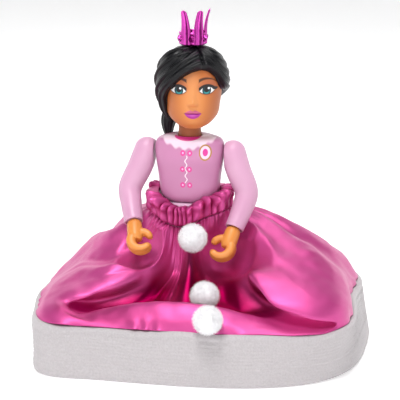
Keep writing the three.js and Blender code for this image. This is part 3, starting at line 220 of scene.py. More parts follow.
GATHER_LENGTH = 0.06  # share of the cloth under the waist, or over the hem
TENSION_HEIGHT = 0.22
PUCKER_HEIGHT = 0.28
CREASE_HEIGHT = 0.42
SMALL_CREASE_HEIGHT = 0.2
# Painted light, a glow of the cloth at both ends of the hollow: strength, turn, width, share, length
PAINTED_POCKET_LIGHTS = ((1, -34, 9, 0.6, 0.14), (0.7, 36, 10, 0.72, 0.2))
POMPOMS = ("pompom_top", "pompom_middle", "pompom_bottom")
POMPOM_RADIUS = 4.3
FIBRE_HALF_WIDTH = 0.05

# Camera, from the photograph's frame of 400 pixels
VIEW_AZIMUTH = 10.7
VIEW_ELEVATION = 14
VIEW_DISTANCE = 520
VIEW_TARGET = (0, 0, 45)
FRAME_PIXELS = 400
PIXEL = 0.288  # size of a pixel at the target
TARGET_PIXEL = (204.5, 190.3)

# Studio
FLOOR_REACH = 1700
FLOOR_DROP = 0.02
FLOOR_LIGHT = (0.34, 0.74)  # near the doll and far off
FLOOR_LIGHT_SPAN = (0.4, 1.2)  # metres from the middle
COVE_RADIUS = 500
COVE_HEIGHT = 900
WORLD_LIGHT = 0.07
# Name, place, size and power
LIGHTS = (
    ("key", (-30, -250, 580), 220, 2.4),
    ("front", (40, -520, 260), 160, 0.35),
    ("top", (30, 80, 520), 240, 0.9),
    ("back", (-120, 450, 380), 400, 0.5),
)


# Shader values and finishes


class Value:
    """An output of a finish's nodes; arithmetic on it adds Math nodes."""

    def __init__(self, finish, socket):
        self.finish = finish
        self.socket = socket

    def math(self, operation, *terms):
        return self.finish.node("ShaderNodeMath", {"operation": operation}, dict(enumerate(terms)))

    def __add__(self, other):
        return self.math("ADD", self, other)

    __radd__ = __add__

    def __sub__(self, other):
        return self.math("SUBTRACT", self, other)

    def __rsub__(self, other):
        return self.math("SUBTRACT", other, self)

    def __mul__(self, other):
        return self.math("MULTIPLY", self, other)

    __rmul__ = __mul__

    def __truediv__(self, other):
        return self.math("DIVIDE", self, other)

    def __rtruediv__(self, other):
        return self.math("DIVIDE", other, self)

    def __abs__(self):
        return self.math("ABSOLUTE", self)

    def sin(self):
        return self.math("SINE", self)

    def sqrt(self):
        return self.math("SQRT", self)

    def most(self, other):
        return self.math("MAXIMUM", self, other)

    def inside(self, soft):
        """1 where the value is below zero, 0 above, with a soft edge."""
        limits = {"Value": self, "From Min": -soft, "From Max": soft, "To Min": 1.0, "To Max": 0.0}
        return self.finish.node("ShaderNodeMapRange", {"interpolation_type": "SMOOTHSTEP"}, limits)


class Finish:
    """A material with one Principled shader. Its colours are given in 8-bit values."""

    def __init__(self, name, **uniform):
        self.material = bpy.data.materials.new(name)
        self.material.use_nodes = True
        self.tree = self.material.node_tree
        self.shader = self.tree.nodes["Principled BSDF"]
        self.coat = None
        for key, value in uniform.items():
            self.shader.inputs[key.replace("_", " ").title().replace("Ior", "IOR")].default_value = value

    def node(self, kind, settings=None, inputs=None, output=0):
        made = self.tree.nodes.new(kind)
        for key, value in (settings or {}).items():
            setattr(made, key, value)
        for key, value in (inputs or {}).items():
            self.feed(made.inputs[key], value)
        return Value(self, made.outputs[output])

    def feed(self, socket, value):
        if isinstance(value, Value):
            self.tree.links.new(value.socket, socket)
        else:
            socket.default_value = value

    def set(self, name, value):
        self.feed(self.shader.inputs[name], value)

    def place(self):
        """Place on the piece, in metres of the frame."""
        return self.node("ShaderNodeTexCoord", output="Object")

    def mark(self, name):
        """A measure that the mesh carries at each corner."""
        return self.node("ShaderNodeAttribute", {"attribute_name": name}, output="Fac")

    def noise(self, grain, detail=2.0, stretch=None):
        """Cloudy values about 0.5, with a grain in millimetres."""
        where = self.place()
        if stretch:
            where = self.node("ShaderNodeVectorMath", {"operation": "MULTIPLY"}, {0: where, 1: stretch})
        inputs = {"Vector": where, "Scale": 1 / (grain * MM), "Detail": detail}
        return self.node("ShaderNodeTexNoise", inputs=inputs)

    def mix(self, share, below, above):
        """Colour between two others."""
        below, above = (value if isinstance(value, Value) else shade(*value) for value in (below, above))
        return self.node("ShaderNodeMix", {"data_type": "RGBA"}, {0: share, 6: below, 7: above}, output=2)

    def tint(self, share, below, above):
        """Colours the surface between two colours."""
        self.coat = self.mix(share, below, above)
        self.set("Base Color", self.coat)

    def paint(self, share, colour):
        """Lays a colour over the coat so far."""
        self.tint(share, self.coat, colour)

    def bump(self, height, depth):
        """Roughens the surface by a height from 0 to 1, with a depth in millimetres."""
        inputs = {"Height": height, "Distance": depth * MM, "Strength": 1.0}
        self.set("Normal", self.node("ShaderNodeBump", inputs=inputs))


def shade(red, green, blue):
    """Linear colour from 8-bit values."""

    def linear(value):
        value /= 255
        return value / 12.92 if value <= 0.04045 else ((value + 0.055) / 1.055) ** 2.4

    return (linear(red), linear(green), linear(blue), 1)


def plastic(name, colour, dark, roughness):
    """Moulded plastic: a slight drift of colour, a soft gloss and a fine grain."""
    finish = Finish(name, Specular_IOR_Level=0.45)
    finish.tint(finish.noise(grain=9), dark, colour)
    finish.set("Roughness", roughness - 0.06 + 0.12 * finish.noise(grain=1.1, detail=3))
    finish.bump(finish.noise(grain=0.25), depth=0.012)
    return finish


def satin_finish():
    """Woven satin: close threads with a broad pale sheen, painted shade that deepens its colour where it
    folds in, and a painted glow at both ends of the hollow.
    """
    finish = Finish("satin", Specular_IOR_Level=0.25, Coat_Roughness=0.42, Emission_Strength=0.25)
    threads = finish.noise(grain=0.1, detail=1, stretch=(1, 1, 0.2))
    depth = finish.mark("fold")
    finish.tint(finish.noise(grain=14), (202, 62, 138), (218, 92, 162))
    finish.paint(0.2 * threads, (160, 10, 86))
    # Painted shade: where the fold mark is set, the cloth takes a dark crimson, more metal and less coat, so
    # the folds look shadowed
    finish.paint(depth, (140, 0, 62))
    finish.set("Metallic", 0.5 + 0.5 * depth)
    # Painted light: where the glow mark is set, the cloth gives off a magenta glow
    finish.set("Emission Color", finish.mix(finish.mark("glow"), (0, 0, 0), (212, 0, 118)))
    finish.set("Coat Weight", 0.3 - 0.3 * depth)
    finish.set("Roughness", 0.36 + 0.1 * threads)
    finish.bump(threads + 0.4 * finish.noise(grain=1.2, detail=3), depth=0.03)
    return finish


def fleece_finish(name, grain, depth, low, high):
    """White pile: matt tufts with a faint cool shade between them."""
    finish = Finish(name, Sheen_Weight=0.3, Sheen_Roughness=0.6, Specular_IOR_Level=0.1)
    tufts = finish.noise(grain, detail=4)
    finish.tint(tufts, low, high)
    finish.set("Roughness", 0.9 + 0.1 * tufts)
    finish.bump(tufts, depth)
    return finish


def metal_finish():
    """Drawn steel wire of the pins."""
    finish = Finish("pin_steel", Metallic=1.0)
    lines = finish.noise(grain=0.3, stretch=(0.15, 1, 1))
    finish.tint(lines, (150, 150, 155), (200, 200, 204))
    finish.set("Roughness", 0.25 + 0.2 * lines)
    return finish


def crown_finish():
    """Metallised magenta plastic with painted reflection in dark and light bands, set by the way the surface
    faces, and a faint cloudiness.
    """
    finish = Finish("crown_plating", Metallic=1.0)
    haze = finish.noise(grain=1.5, detail=3)
    # Painted reflection: dark and light bands follow the way the surface faces
    facing = finish.node("ShaderNodeTexCoord", output="Normal")
    painted_reflection_bands = {0: facing, 1: (7.0, 3.0, 2.0)}
    lean = finish.node("ShaderNodeVectorMath", {"operation": "DOT_PRODUCT"}, painted_reflection_bands, "Value")
    finish.tint(0.5 + 0.5 * (lean + 2.5 * haze).sin(), (84, 0, 62), (228, 84, 196))
    finish.set("Roughness", 0.12 + 0.14 * haze)
    finish.bump(finish.noise(grain=0.8), depth=0.02)
    return finish


def hair_finish():
    """Dark moulded hair, glossy on the strands and duller between them."""
    finish = Finish("hair_plastic", Specular_IOR_Level=0.28)
    strands = finish.noise(grain=0.5, detail=3, stretch=(0.3, 0.3, 1))
    finish.tint(strands, (4, 4, 6), (19, 19, 23))
    finish.set("Roughness", 0.28 + 0.14 * strands)
    finish.bump(strands, depth=0.04)
    return finish


def paint_places(finish):
    """Painted surfaces carry a flat map of their front: across and up, in millimetres."""
    flat = {0: finish.node("ShaderNodeUVMap", {"uv_map": "front"})}
    across, up = (finish.node("ShaderNodeSeparateXYZ", inputs=flat, output=k) for k in (0, 1))
    return (across - 0.5) * PAINT_SPAN, up * PAINT_SPAN


def disc(across, up, middle, radii):
    """Distance to the rim of an oval, negative inside."""
    wide = (across - middle[0]) / radii[0]
    tall = (up - middle[1]) / radii[1]
    return ((wide * wide + tall * tall).sqrt() - 1) * min(radii)


def lens(across, up, middle, half_width, rise, fall):
    """Distances to an almond between an upper arc and a lower arc, and to its upper arc."""
    upper = (half_width**2 + rise**2) / (2 * rise)
    lower = (half_width**2 + fall**2) / (2 * fall)
    over = disc(across, up, (middle[0], middle[1] + rise - upper), (upper, upper))
    under = disc(across, up, (middle[0], middle[1] - fall + lower), (lower, lower))
    return over.most(under), over


def skin_finish():
    """Tan plastic with a painted doll's face."""
    finish = plastic("skin_face", (220, 140, 72), (202, 118, 54), roughness=0.42)
    across, up = paint_places(finish)
    side = abs(across)
    ink = (24, 16, 18)

    def oval(middle, radii, soft):
        """1 inside an oval on both sides of the face, 0 outside, with a soft edge."""
        return disc(side, up, middle, radii).inside(soft)

    def by_eye(out, above):
        return EYE_APART + out, EYE_HEIGHT + above

    # Painted shade on the sides of the face and a painted highlight down its middle
    finish.paint(0.75 - 0.75 * oval((0, 7.5), radii=(4.2, 6.5), soft=2.6), (172, 90, 44))
    finish.paint(0.25 * oval((0, 9.5), radii=(2.2, 5.5), soft=1.8), (246, 180, 120))

    # Eyes: painted shade on the lid, white, iris with a ring and a light, pupil, spark
    eye, lid = lens(side, up, by_eye(0, 0), half_width=2.2, rise=1.3, fall=1.0)
    white = eye.inside(0.05)
    iris = disc(side, up, by_eye(-0.1, 0.1), (1.25, 1.35))
    ring = finish.mix((iris + 0.35).inside(0.25), (4, 34, 44), (12, 104, 116))
    # Painted shade on the lid
    finish.paint(0.5 * oval(by_eye(0.1, 0.9), radii=(2.7, 2.2), soft=0.5), (176, 92, 62))
    finish.paint(white, (240, 240, 238))
    finish.paint(white * iris.inside(0.05), ring)
    finish.paint(0.6 * white * oval(by_eye(-0.1, -0.5), radii=(0.7, 0.4), soft=0.3), (70, 184, 180))
    finish.paint(white * oval(by_eye(-0.1, 0.35), radii=(0.78, 0.85), soft=0.12), ink)
    for eye_side in (-1, 1):
        spark = disc(across, up, (eye_side * EYE_APART + 0.5, EYE_HEIGHT + 0.7), (0.32, 0.32))
        finish.paint(spark.inside(0.05), (255, 255, 255))

    # Lashes with a wing, a line under the eye, brows
    lash = (abs(lid - 0.2) - 0.4).most(abs(side - EYE_APART - 0.2) - 2.5).most(EYE_HEIGHT + 0.1 - up)
    finish.paint(lash.inside(0.1), ink)
    finish.paint(oval(by_eye(2.3, 0.55), radii=(0.75, 0.4), soft=0.12), ink)
    finish.paint(0.8 * (abs(eye) - 0.12).most(up - EYE_HEIGHT).inside(0.08), (62, 28, 22))
    brow = abs(disc(side, up, (3.9, 9.3), (4.5, 5.2))) - (0.48 - 0.06 * side)
    brow = brow.most(abs(side - 4.1) - 2.4).most(12.4 - up)
    finish.paint(0.9 * brow.inside(0.16), (40, 22, 20))

    # Lips with a cleft, a gleam and a line between them
    mouth = (0, MOUTH_HEIGHT)
    upper_lip = lens(side, up, mouth, half_width=2.5, rise=1.1, fall=0.12)[0]
    cleft = disc(side, up, (0, MOUTH_HEIGHT + 1.4), (0.62, 0.62))
    lower_lip = lens(side, up, mouth, half_width=2.3, rise=0.1, fall=1.45)[0]
    gleam = disc(across, up, (0.1, MOUTH_HEIGHT - 0.6), (0.9, 0.3))
    crease = (abs(up - MOUTH_HEIGHT) - 0.09).most(side - 2.4)
    finish.paint(upper_lip.most(-1 * cleft).inside(0.1), (196, 92, 128))
    finish.paint(lower_lip.inside(0.1), (172, 40, 150))
    finish.paint(0.5 * gleam.inside(0.3), (214, 110, 200))
    finish.paint(0.7 * crease.inside(0.06), (112, 24, 92))
    return finish


def bodice_finish():
    """Pink plastic with a printed pale yoke, paired buttons, a braid and a round brooch."""
    finish = plastic("bodice_print", (200, 136, 174), (186, 118, 160), roughness=0.36)
    across, up = paint_places(finish)
    scallop = 0.35 * (across * 2.4).sin()
    yoke = TORSO_HEIGHT - 3.2 + 0.045 * across * across + scallop - up
    collar = disc(across, up, (0, TORSO_HEIGHT + 2.2), (5.2, 3.1))
    braid = abs(across - 0.28 * (up * 2.9).sin()) - 0.14
    braid = braid.most(abs(up - 10.0) - 4.0)
    finish.paint(0.75 * yoke.inside(0.5), (246, 228, 240))
    finish.paint(collar.inside(0.08), (214, 50, 136))
    finish.paint(0.8 * braid.inside(0.08), (255, 250, 253))
    for row in (14.7, 10.1, 5.4):
        petals, heart = (disc(abs(across), up, (1.0, row), radii) for radii in ((0.72, 0.82), (0.26, 0.3)))
        finish.paint(petals.inside(0.08), (222, 66, 150))
        finish.paint(heart.inside(0.06), (250, 190, 226))
    brooch = (5.4, 15.0)
    rim, enamel, stone = (176, 128, 62), (248, 208, 232), (216, 52, 150)
    for radii, colour in (((1.8, 2.3), rim), ((1.4, 1.85), enamel), ((0.75, 1.05), stone)):
        finish.paint(disc(across, up, brooch, radii).inside(0.06), colour)
    return finish


# Forms


class Form:
    """A mesh that grows by grids of places, in millimetres."""

    def __init__(self):
        self.corners = []
        self.faces = []
        self.count = 0

    def grid(self, places, round_rows=False, round_columns=True, capped=True):
        """Skin over rows of places; open rows are closed by a cap at each end."""
        rows, columns = places.shape[:2]
        index = np.arange(rows * columns).reshape(rows, columns) + self.count
        joined = np.vstack([index, index[:1]]) if round_rows else index
        joined = np.hstack([joined, joined[:, :1]]) if round_columns else joined
        quads = np.stack([joined[:-1, :-1], joined[:-1, 1:], joined[1:, 1:], joined[1:, :-1]], axis=-1)
        self.faces.extend(quads.reshape(-1, 4).tolist())
        if capped and not round_rows:
            self.faces.append(index[0, ::-1].tolist())
            self.faces.append(index[-1].tolist())
        if round_rows and not round_columns:
            self.faces.append(index[:, 0].tolist())
            self.faces.append(index[::-1, -1].tolist())
        self.corners.append(places.reshape(-1, 3))
        self.count += rows * columns
        return self

    def fibres(self, roots, tips, rng):
        """Thin tapering fibres from roots to tips, each one flat triangle."""
        aside = np.cross(tips - roots, rng.normal(size=roots.shape))
        aside *= FIBRE_HALF_WIDTH / np.linalg.norm(aside, axis=1, keepdims=True)
        triangles = np.stack([roots - aside, roots + aside, tips], axis=1)
        index = np.arange(3 * len(roots)).reshape(-1, 3) + self.count
        self.corners.append(triangles.reshape(-1, 3))
        self.faces.extend(index.tolist())
        self.count += 3 * len(roots)
        return self

    def moved(self, move):
        """Passes every corner through a function."""
        self.corners = [move(np.vstack(self.corners))]
        return self

    def mesh(self, name, place=(0, 0, 0), scale=1.0):
        mesh = bpy.data.meshes.new(name)
        mesh.from_pydata(((np.vstack(self.corners) + place) * scale).tolist(), [], self.faces)
        return mesh


def placed(x, y, z):
    """Places from their coordinates, each of which may be one value for many."""
    return np.stack(np.broadcast_arrays(x, y, z), axis=-1)


def full_turn(steps, start=0.0):
    return np.linspace(start, start + 2 * np.pi, steps, endpoint=False)


def unit(vectors):
    return vectors / np.linalg.norm(vectors, axis=-1, keepdims=True)


def hump(value, middle, width):
    """1 at a value, falling away to both sides of it."""
    return np.exp(-(((value - middle) / width) ** 2))


def soft_step(value, low, high):
    """Rises gently from 0 to 1 between two values."""
    share = np.clip((value - low) / (high - low), 0, 1)
    return share * share * (3 - 2 * share)


def spans_of(shares, count):
    """Span of a curve that each share from 0 to 1 lies in, and the step along that span."""
    scaled = np.clip(np.asarray(shares, float), 0, 1) * count
    span = np.minimum(scaled.astype(int), count - 1)
    return span, (scaled - span)[:, None]


def cubic(before, start, end, after, step):
    """Smooth curve from a start to an end, between the points before and after them."""
    bend = 2 * before - 5 * start + 4 * end - after
    twist = 3 * start - before - 3 * end + after
    return 0.5 * (2 * start + (end - before) * step + bend * step**2 + twist * step**3)


def through(points, shares):
    """Smooth curve through points, at shares from 0 to 1 of its way."""
    points = np.asarray(points, float)
    padded = np.concatenate([[2 * points[0] - points[1]], points, [2 * points[-1] - points[-2]]])
    span, step = spans_of(shares, len(points) - 1)
    return cubic(*(padded[span + k] for k in range(4)), step)


def boxy(value, squareness):
    return np.sign(value) * np.abs(value) ** (2 / squareness)


def barrel(stations, rows, sides, squareness=2.0):
    """Upright form through oval stations: half width, half depth, height and y of the middle."""
    table = np.array([(*station, 0)[:4] for station in stations], float)
    width, depth, height, middle = through(table, np.linspace(0, 1, rows)).T[:, :, None]
    angle = full_turn(sides)
    x = width * boxy(np.cos(angle), squareness)
    return placed(x, middle + depth * boxy(np.sin(angle), squareness), height)


def sweep(path, radii, steps, sides, flutes=0, flute_depth=0.0, flat=1.0):
    """Round tapering form along a smooth path, fluted and flattened if asked."""
    shares = np.linspace(0, 1, steps)
    middle = through(path, shares)
    radius = through(np.array(radii, float)[:, None], shares)
    along = unit(np.gradient(middle, axis=0))
    across = np.empty_like(along)
    guess = np.cross(along[0], (0.3, 0.9, 0.2))
    for i, direction in enumerate(along):
        guess = unit(guess - direction * guess.dot(direction))
        across[i] = guess
    beside = np.cross(along, across)
    angle = full_turn(sides)
    reach = radius * (1 + flute_depth * np.cos(flutes * angle))
    wide = (reach * np.cos(angle))[..., None] * across[:, None]
    deep = (flat * reach * np.sin(angle))[..., None] * beside[:, None]
    return middle[:, None] + wide + deep


def turned(points, degrees, axis):
    """Points turned about an axis through the origin: 0 for x, 1 for y, 2 for z."""
    angle = math.radians(degrees)
    a, b = [(1, 2), (2, 0), (0, 1)][axis]
    result = np.array(points, float)
    result[..., a] = math.cos(angle) * points[..., a] - math.sin(angle) * points[..., b]
    result[..., b] = math.sin(angle) * points[..., a] + math.cos(angle) * points[..., b]
    return result


def add_object(name, data):
    made = bpy.data.objects.new(name, data)
    bpy.context.scene.collection.objects.link(made)
    return made


def piece(name, form, finish, body, stands_for=(), sharp=40):
    """Makes a form into a piece that moves with a body."""
    mesh = form.mesh(name, FIGURE_PLACE, MM)
    shape = bmesh.new()
    shape.from_mesh(mesh)
    bmesh.ops.recalc_face_normals(shape, faces=shape.faces)
    for face in shape.faces:
        face.smooth = True
    for edge in shape.edges:
        edge.smooth = edge.calc_face_angle(0) < math.radians(sharp)
    shape.to_mesh(mesh)
    shape.free()
    mesh.materials.append(finish.material)
    made = add_object(name, mesh)
    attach(made, body)
    if stands_for:
        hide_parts(*stands_for)
    return made


def fused(form, grain, passes):
    """One skin round a form's overlapping bodies, smoothed a little."""
    mesh = form.mesh("fusing")
    holder = add_object("fusing", mesh)
    remesh = holder.modifiers.new("skin", "REMESH")
    remesh.mode = "VOXEL"
    remesh.voxel_size = grain
    holder.modifiers.new("relax", "SMOOTH").iterations = passes
    skinned = holder.evaluated_get(bpy.context.evaluated_depsgraph_get()).to_mesh()
    result = Form()
    result.corners = [np.array([corner.co for corner in skinned.vertices])]
    result.faces = [list(face.vertices) for face in skinned.polygons]
    result.count = len(skinned.vertices)
    bpy.data.objects.remove(holder)
    bpy.data.meshes.remove(mesh)
    return result


def flat_map(made, to_front):
    """Stores the flat map of a painted piece: across and up of each corner."""
    mesh = made.data
    layer = mesh.uv_layers.new(name="front")
    corners = np.array([corner.co for corner in mesh.vertices]) / MM - FIGURE_PLACE
    places = to_front(corners)
    for loop in mesh.loops:
        across, up = places[loop.vertex_index]
        layer.data[loop.index].uv = (across / PAINT_SPAN + 0.5, up / PAINT_SPAN)


def add_mark(made, name, values):
    """Keeps a measure from 0 to 1 at each corner of a piece."""
    marks = made.data.attributes.new(name, "FLOAT", "POINT")
    marks.data.foreach_set("value", np.clip(values, 0, 1).astype(np.float32))


# Torso and neck


def torso_outline():
    """Stations of the torso's outside: half width, half depth and height above the waist seam."""

    def between(a, b, share):
        return tuple(np.array(a) + share * (np.array(b) - a))

    steps = [
        (0, TORSO_FOOT),
        (0.05, between(TORSO_FOOT, TORSO_WAIST, 0.65)),
        (0.16, TORSO_WAIST),
        (0.42, between(TORSO_WAIST, TORSO_CHEST, 0.5)),
        (0.64, TORSO_CHEST),
        (0.8, TORSO_SHOULDER),
        (0.94, between(TORSO_SHOULDER, TORSO_COLLAR, 0.2)),
        (1, TORSO_COLLAR),
    ]
    return [(*size, TORSO_HEIGHT * share) for share, size in steps]


def torso_half(name, facing, finish):
    """Half a torso shell, from the waist seam over the shoulders to the neck."""
    sides = 120
    throat = [
        (*TORSO_COLLAR, TORSO_HEIGHT),
        (*COLLAR_BEND, TORSO_HEIGHT + 0.15),
        (NECK_BORE, NECK_BORE, TORSO_HEIGHT - 0.1),
        (NECK_BORE, NECK_BORE, TORSO_HEIGHT - TORSO_WALL),
    ]
    walls = [(w - TORSO_WALL, d - TORSO_WALL, z) for w, d, z in torso_outline()[:-2]]
    outside = barrel(torso_outline(), 70, sides, TORSO_SQUARENESS)
    inside = barrel(walls[::-1], 24, sides, TORSO_SQUARENESS)
    whole = np.concatenate([outside, barrel(throat, 12, sides)[1:], inside])
    first = sides // 2 if facing < 0 else 0
    half = np.roll(whole, -first, axis=1)[:, : sides // 2 + 1].copy()
    half[..., 1] = facing * np.maximum(facing * half[..., 1], SEAM_GAP)
    half[..., 2] += WAIST
    form = Form().grid(half, round_rows=True, round_columns=False)
    made = piece(name, form, finish, "figure", [name], sharp=55)
    flat_map(made, lambda corners: corners[:, [0, 2]] - (0, WAIST))


def neck(finish):
    stations = [
        (NECK_RADIUS, NECK_RADIUS, COLLAR - TORSO_WALL),
        (NECK_RADIUS, NECK_RADIUS, COLLAR),
        (NECK_MIDDLE_RADIUS, NECK_MIDDLE_RADIUS, COLLAR + 2),
        (NECK_RADIUS, NECK_RADIUS, CHIN + 1),
        (NECK_RADIUS, NECK_RADIUS, CHIN + NECK_INSIDE_HEAD),
    ]
    form = Form().grid(barrel(stations, rows=24, sides=48))
    piece("neck_post", form, finish, "figure", ["neck"])


# Head


def head_stations():
    """Outline of the head above the chin: half width, half depth, height and y of the middle."""
    wide, deep, tall = HEAD_HALF_WIDTH, HEAD_HALF_DEPTH, HEAD_HEIGHT
    return [
        (2.4, 2, 0, -5),
        (0.7 * JAW_HALF_WIDTH, 0.5 * deep, 0.06 * tall, -3.4),
        (JAW_HALF_WIDTH, 0.78 * deep, 0.17 * tall, -1.5),
        (0.94 * wide, 0.93 * deep, 0.33 * tall, -0.5),
        (wide, deep, 0.52 * tall, 0),
        (0.98 * wide, deep, 0.7 * tall, 0.2),
        (0.8 * wide, 0.82 * deep, 0.87 * tall, 0.2),
        (0.48 * wide, 0.5 * deep, 0.965 * tall, 0.2),
        (0.15 * wide, 0.15 * deep, tall, 0.2),
    ]


def face_relief(x, z):
    """How far the face stands out at a place across and up."""

    def swell(height, across, up, wide, tall):
        return height * np.exp(-(((np.abs(x) - across) / wide) ** 2) - ((z - up) / tall) ** 2)

    nose = swell(1.15, 0, NOSE_HEIGHT, 0.95, 0.85) + swell(0.6, 0, NOSE_HEIGHT + 1.9, 0.75, 1.9)
    wings = swell(0.35, 0.95, NOSE_HEIGHT - 0.35, 0.5, 0.5)
    sockets = swell(-0.4, EYE_APART, EYE_HEIGHT, 2.1, 1.5)
    lips = swell(0.42, 0.7, MOUTH_HEIGHT + 0.42, 1.3, 0.36) + swell(0.5, 0, MOUTH_HEIGHT - 0.5, 1.5, 0.45)
    crease = swell(-0.3, 0, MOUTH_HEIGHT, 2.2, 0.14)
    chin = swell(0.45, 0, 1.7, 1.7, 1.1)
    cheeks = swell(0.3, 4.4, 6.8, 2.2, 2.0)
    return nose + wings + sockets + lips + crease + chin + cheeks


def in_head(points):
    """From the head's own axes to the figure's."""
    return turned(points, HEAD_TURN, 2) + (HEAD_ASIDE, 0, CHIN)


def face_places(corners):
    """Across and up on the front of the head; its back lies clear of all paint."""
    places = turned(corners - (HEAD_ASIDE, 0, CHIN), -HEAD_TURN, 2)
    up = np.where(places[:, 1] < 0, places[:, 2], PAINT_CLEAR)
    return np.stack([places[:, 0], up], axis=1)


def head(finish):
    skull = barrel(head_stations(), 150, 220, HEAD_SQUARENESS)
    front = np.clip(-skull[..., 1] / HEAD_HALF_DEPTH, 0, 1) ** 2
    skull[..., 1] -= front * face_relief(skull[..., 0], skull[..., 2])
    form = Form().grid(skull).moved(in_head)
    flat_map(piece("head_face", form, finish, "head", ["head"]), face_places)


# Hair


def hair_outside(turn, height):
    """Place on the hair's smooth outside at a turn from the front and a height above the chin."""
    wide, deep = HAIR_HALF_WIDTH, HAIR_HALF_DEPTH
    stations = [
        (0.84 * wide, 0.8 * deep, 4.6, 1),
        (0.96 * wide, 0.93 * deep, 8, 0.8),
        (wide + 0.2, deep, 0.56 * HEAD_HEIGHT, 0.4),
        (0.98 * wide, 0.99 * deep, 0.74 * HEAD_HEIGHT, 0.3),
        (0.8 * wide, 0.82 * deep, 0.92 * HEAD_HEIGHT, 0.2),
        (0.47 * wide, 0.48 * deep, HAIR_TOP - 0.9, 0.2),
        (0.2 * wide, 0.2 * deep, HAIR_TOP, 0.2),
    ]
    table = through(np.array(stations), np.linspace(0, 1, 200))
    half_width, half_depth, middle = (np.interp(height, table[:, 2], table[:, k]) for k in (0, 1, 3))
    x = half_width * boxy(np.sin(turn), HEAD_SQUARENESS)
    return placed(x, middle - half_depth * boxy(np.cos(turn), HEAD_SQUARENESS), height)


# Lower edge of the hair: turn from the front and height above the chin
HAIRLINE = (
    (-180, 4.6), (-120, 5.2), (-85, 6.4), (-62, 9.0), (-40, 12.0), (-27, 14.2), (-15, 16.0), (0, 17.4),
    (18, 18.1), (33, 17.3), (46, 15.4), (58, 12.4), (72, 10.9), (95, 9.6), (125, 6), (180, 4.6),
)

# Locks over the cap: turn from the front, height above the chin, height over the cap and radius
LOCKS = (
    ((20, 18.7, -0.6, 0.4), (0, 18.1, -0.3, 0.85), (-16, 16.7, -0.2, 1.0), (-30, 14.6, -0.2, 1.1),
     (-46, 12, -0.2, 1.2), (-60, 9.2, -0.2, 1.3), (-67, 5.6, 0, 1.3), (-70, 1.6, -0.9, 0.35)),
    ((20, 20.3, -0.7, 0.4), (-6, 19.8, -0.3, 0.9), (-30, 17.6, -0.2, 1.1), (-52, 14.2, -0.2, 1.2),
     (-72, 10.6, -0.2, 1.25), (-84, 6.6, -0.3, 1.1), (-86, 3.4, -0.8, 0.3)),
    ((20, 21.4, -0.8, 0.4), (-20, 21, -0.4, 0.95), (-55, 18.5, -0.2, 1.15), (-80, 14.5, -0.3, 1.2),
     (-100, 10.5, -0.5, 1.1), (-116, 7.4, -0.8, 0.4)),
    ((24, 22.2, -0.9, 0.4), (-30, 22.1, -0.5, 0.95), (-75, 20.2, -0.3, 1.15), (-104, 15.8, -0.4, 1.15),
     (-124, 10.8, -0.8, 0.4)),
    ((18, 18.7, -0.6, 0.4), (34, 17.9, -0.6, 0.95), (48, 16.0, -0.8, 1.1), (60, 13.2, -1.0, 1.2),
     (72, 11.4, -1.2, 1.1), (82, 10.4, -1.3, 0.4)),
    ((18, 20.2, -0.7, 0.4), (42, 19.6, -0.8, 1.1), (66, 16.8, -1.1, 1.35), (84, 13.4, -1.3, 1.35),
     (104, 10.2, -1.4, 0.4)),
)


def strand_relief(turn, rise, height):
    """Combed strands: ridges along the hairline, a parting, and lines drawn to the tail behind."""
    degrees = np.degrees(turn)
    waved = rise + 0.35 * np.sin(2.2 * turn + 0.6) + 0.02 * np.abs(degrees - PART_TURN)
    broad = np.abs(np.sin(np.pi * waved / COMB_PITCH)) ** 0.55
    fine = np.abs(np.sin(3 * np.pi * waved / COMB_PITCH + 1.1))
    front = 0.75 * broad + 0.18 * fine
    spread = np.arctan2(np.sin(turn) * 9 + 2.5, height - 8.5)
    drawn = 0.4 * np.abs(np.sin(8 * spread)) ** 0.6 + 0.12 * np.abs(np.sin(23 * spread))
    behind = 1 / (1 + np.exp(-(np.abs(degrees) - 112) / 8))
    parting = 0.75 * hump(degrees, PART_TURN, 3.2) * np.clip((height - 15) / 3, 0, 1)
    return (1 - behind) * front + behind * drawn - parting - 0.4


def lock(stations):
    """Fluted lock along stations on the hair's outside."""
    turn, height, over, radii = np.array(stations, float).T
    points = hair_outside(np.radians(turn), height)
    out = unit((points - (0, 0.3, 10)) * (1, 1, 0.4))
    return sweep(points + out * over[:, None], radii, 60, 42, flutes=5, flute_depth=0.16, flat=0.75)


def hair(finish):
    """Combed cap with locks swept over it and a low tail behind."""
    turn = full_turn(360, -np.pi)
    edge = np.interp(np.degrees(turn), *np.array(HAIRLINE).T)
    kernel = np.hanning(15) / np.hanning(15).sum()
    edge = np.convolve(np.concatenate([edge[-7:], edge, edge[:7]]), kernel, mode="valid")
    share = np.linspace(0, 1, 90)[:, None]
    height = HAIR_TOP - (HAIR_TOP - edge) * share**1.25
    outside = hair_outside(turn, height)
    out = unit(outside - (0, 0.3, 9))
    rise = (height - edge) * 1.25
    calm = np.clip(share / 0.2, 0, 1)
    relief = calm * strand_relief(turn, rise, height)
    roll = -0.8 * np.clip(1 - rise / 0.8, 0, 1) ** 2
    outside = outside + out * (relief + roll)[..., None]
    inside = outside[::-1] - out[::-1] * HAIR_WALL
    form = Form().grid(np.concatenate([outside, inside]))
    for stations in LOCKS:
        form.grid(lock(stations))
    wide, deep = HAIR_HALF_WIDTH, HAIR_HALF_DEPTH
    tail = [
        (-2, 0.78 * deep, 7.6),
        (-0.52 * wide, 0.98 * deep, 3.1),
        (-0.72 * wide, deep, -1.4),
        (-0.7 * wide, 0.97 * deep, -7.5),
    ]
    form.grid(sweep(tail, [2.3, 2.4, 2.1, 0.5], 70, 48, flutes=9, flute_depth=0.07))
    piece("hair_combed", form.moved(in_head), finish, "head", ["hair"], sharp=70)


# Crown


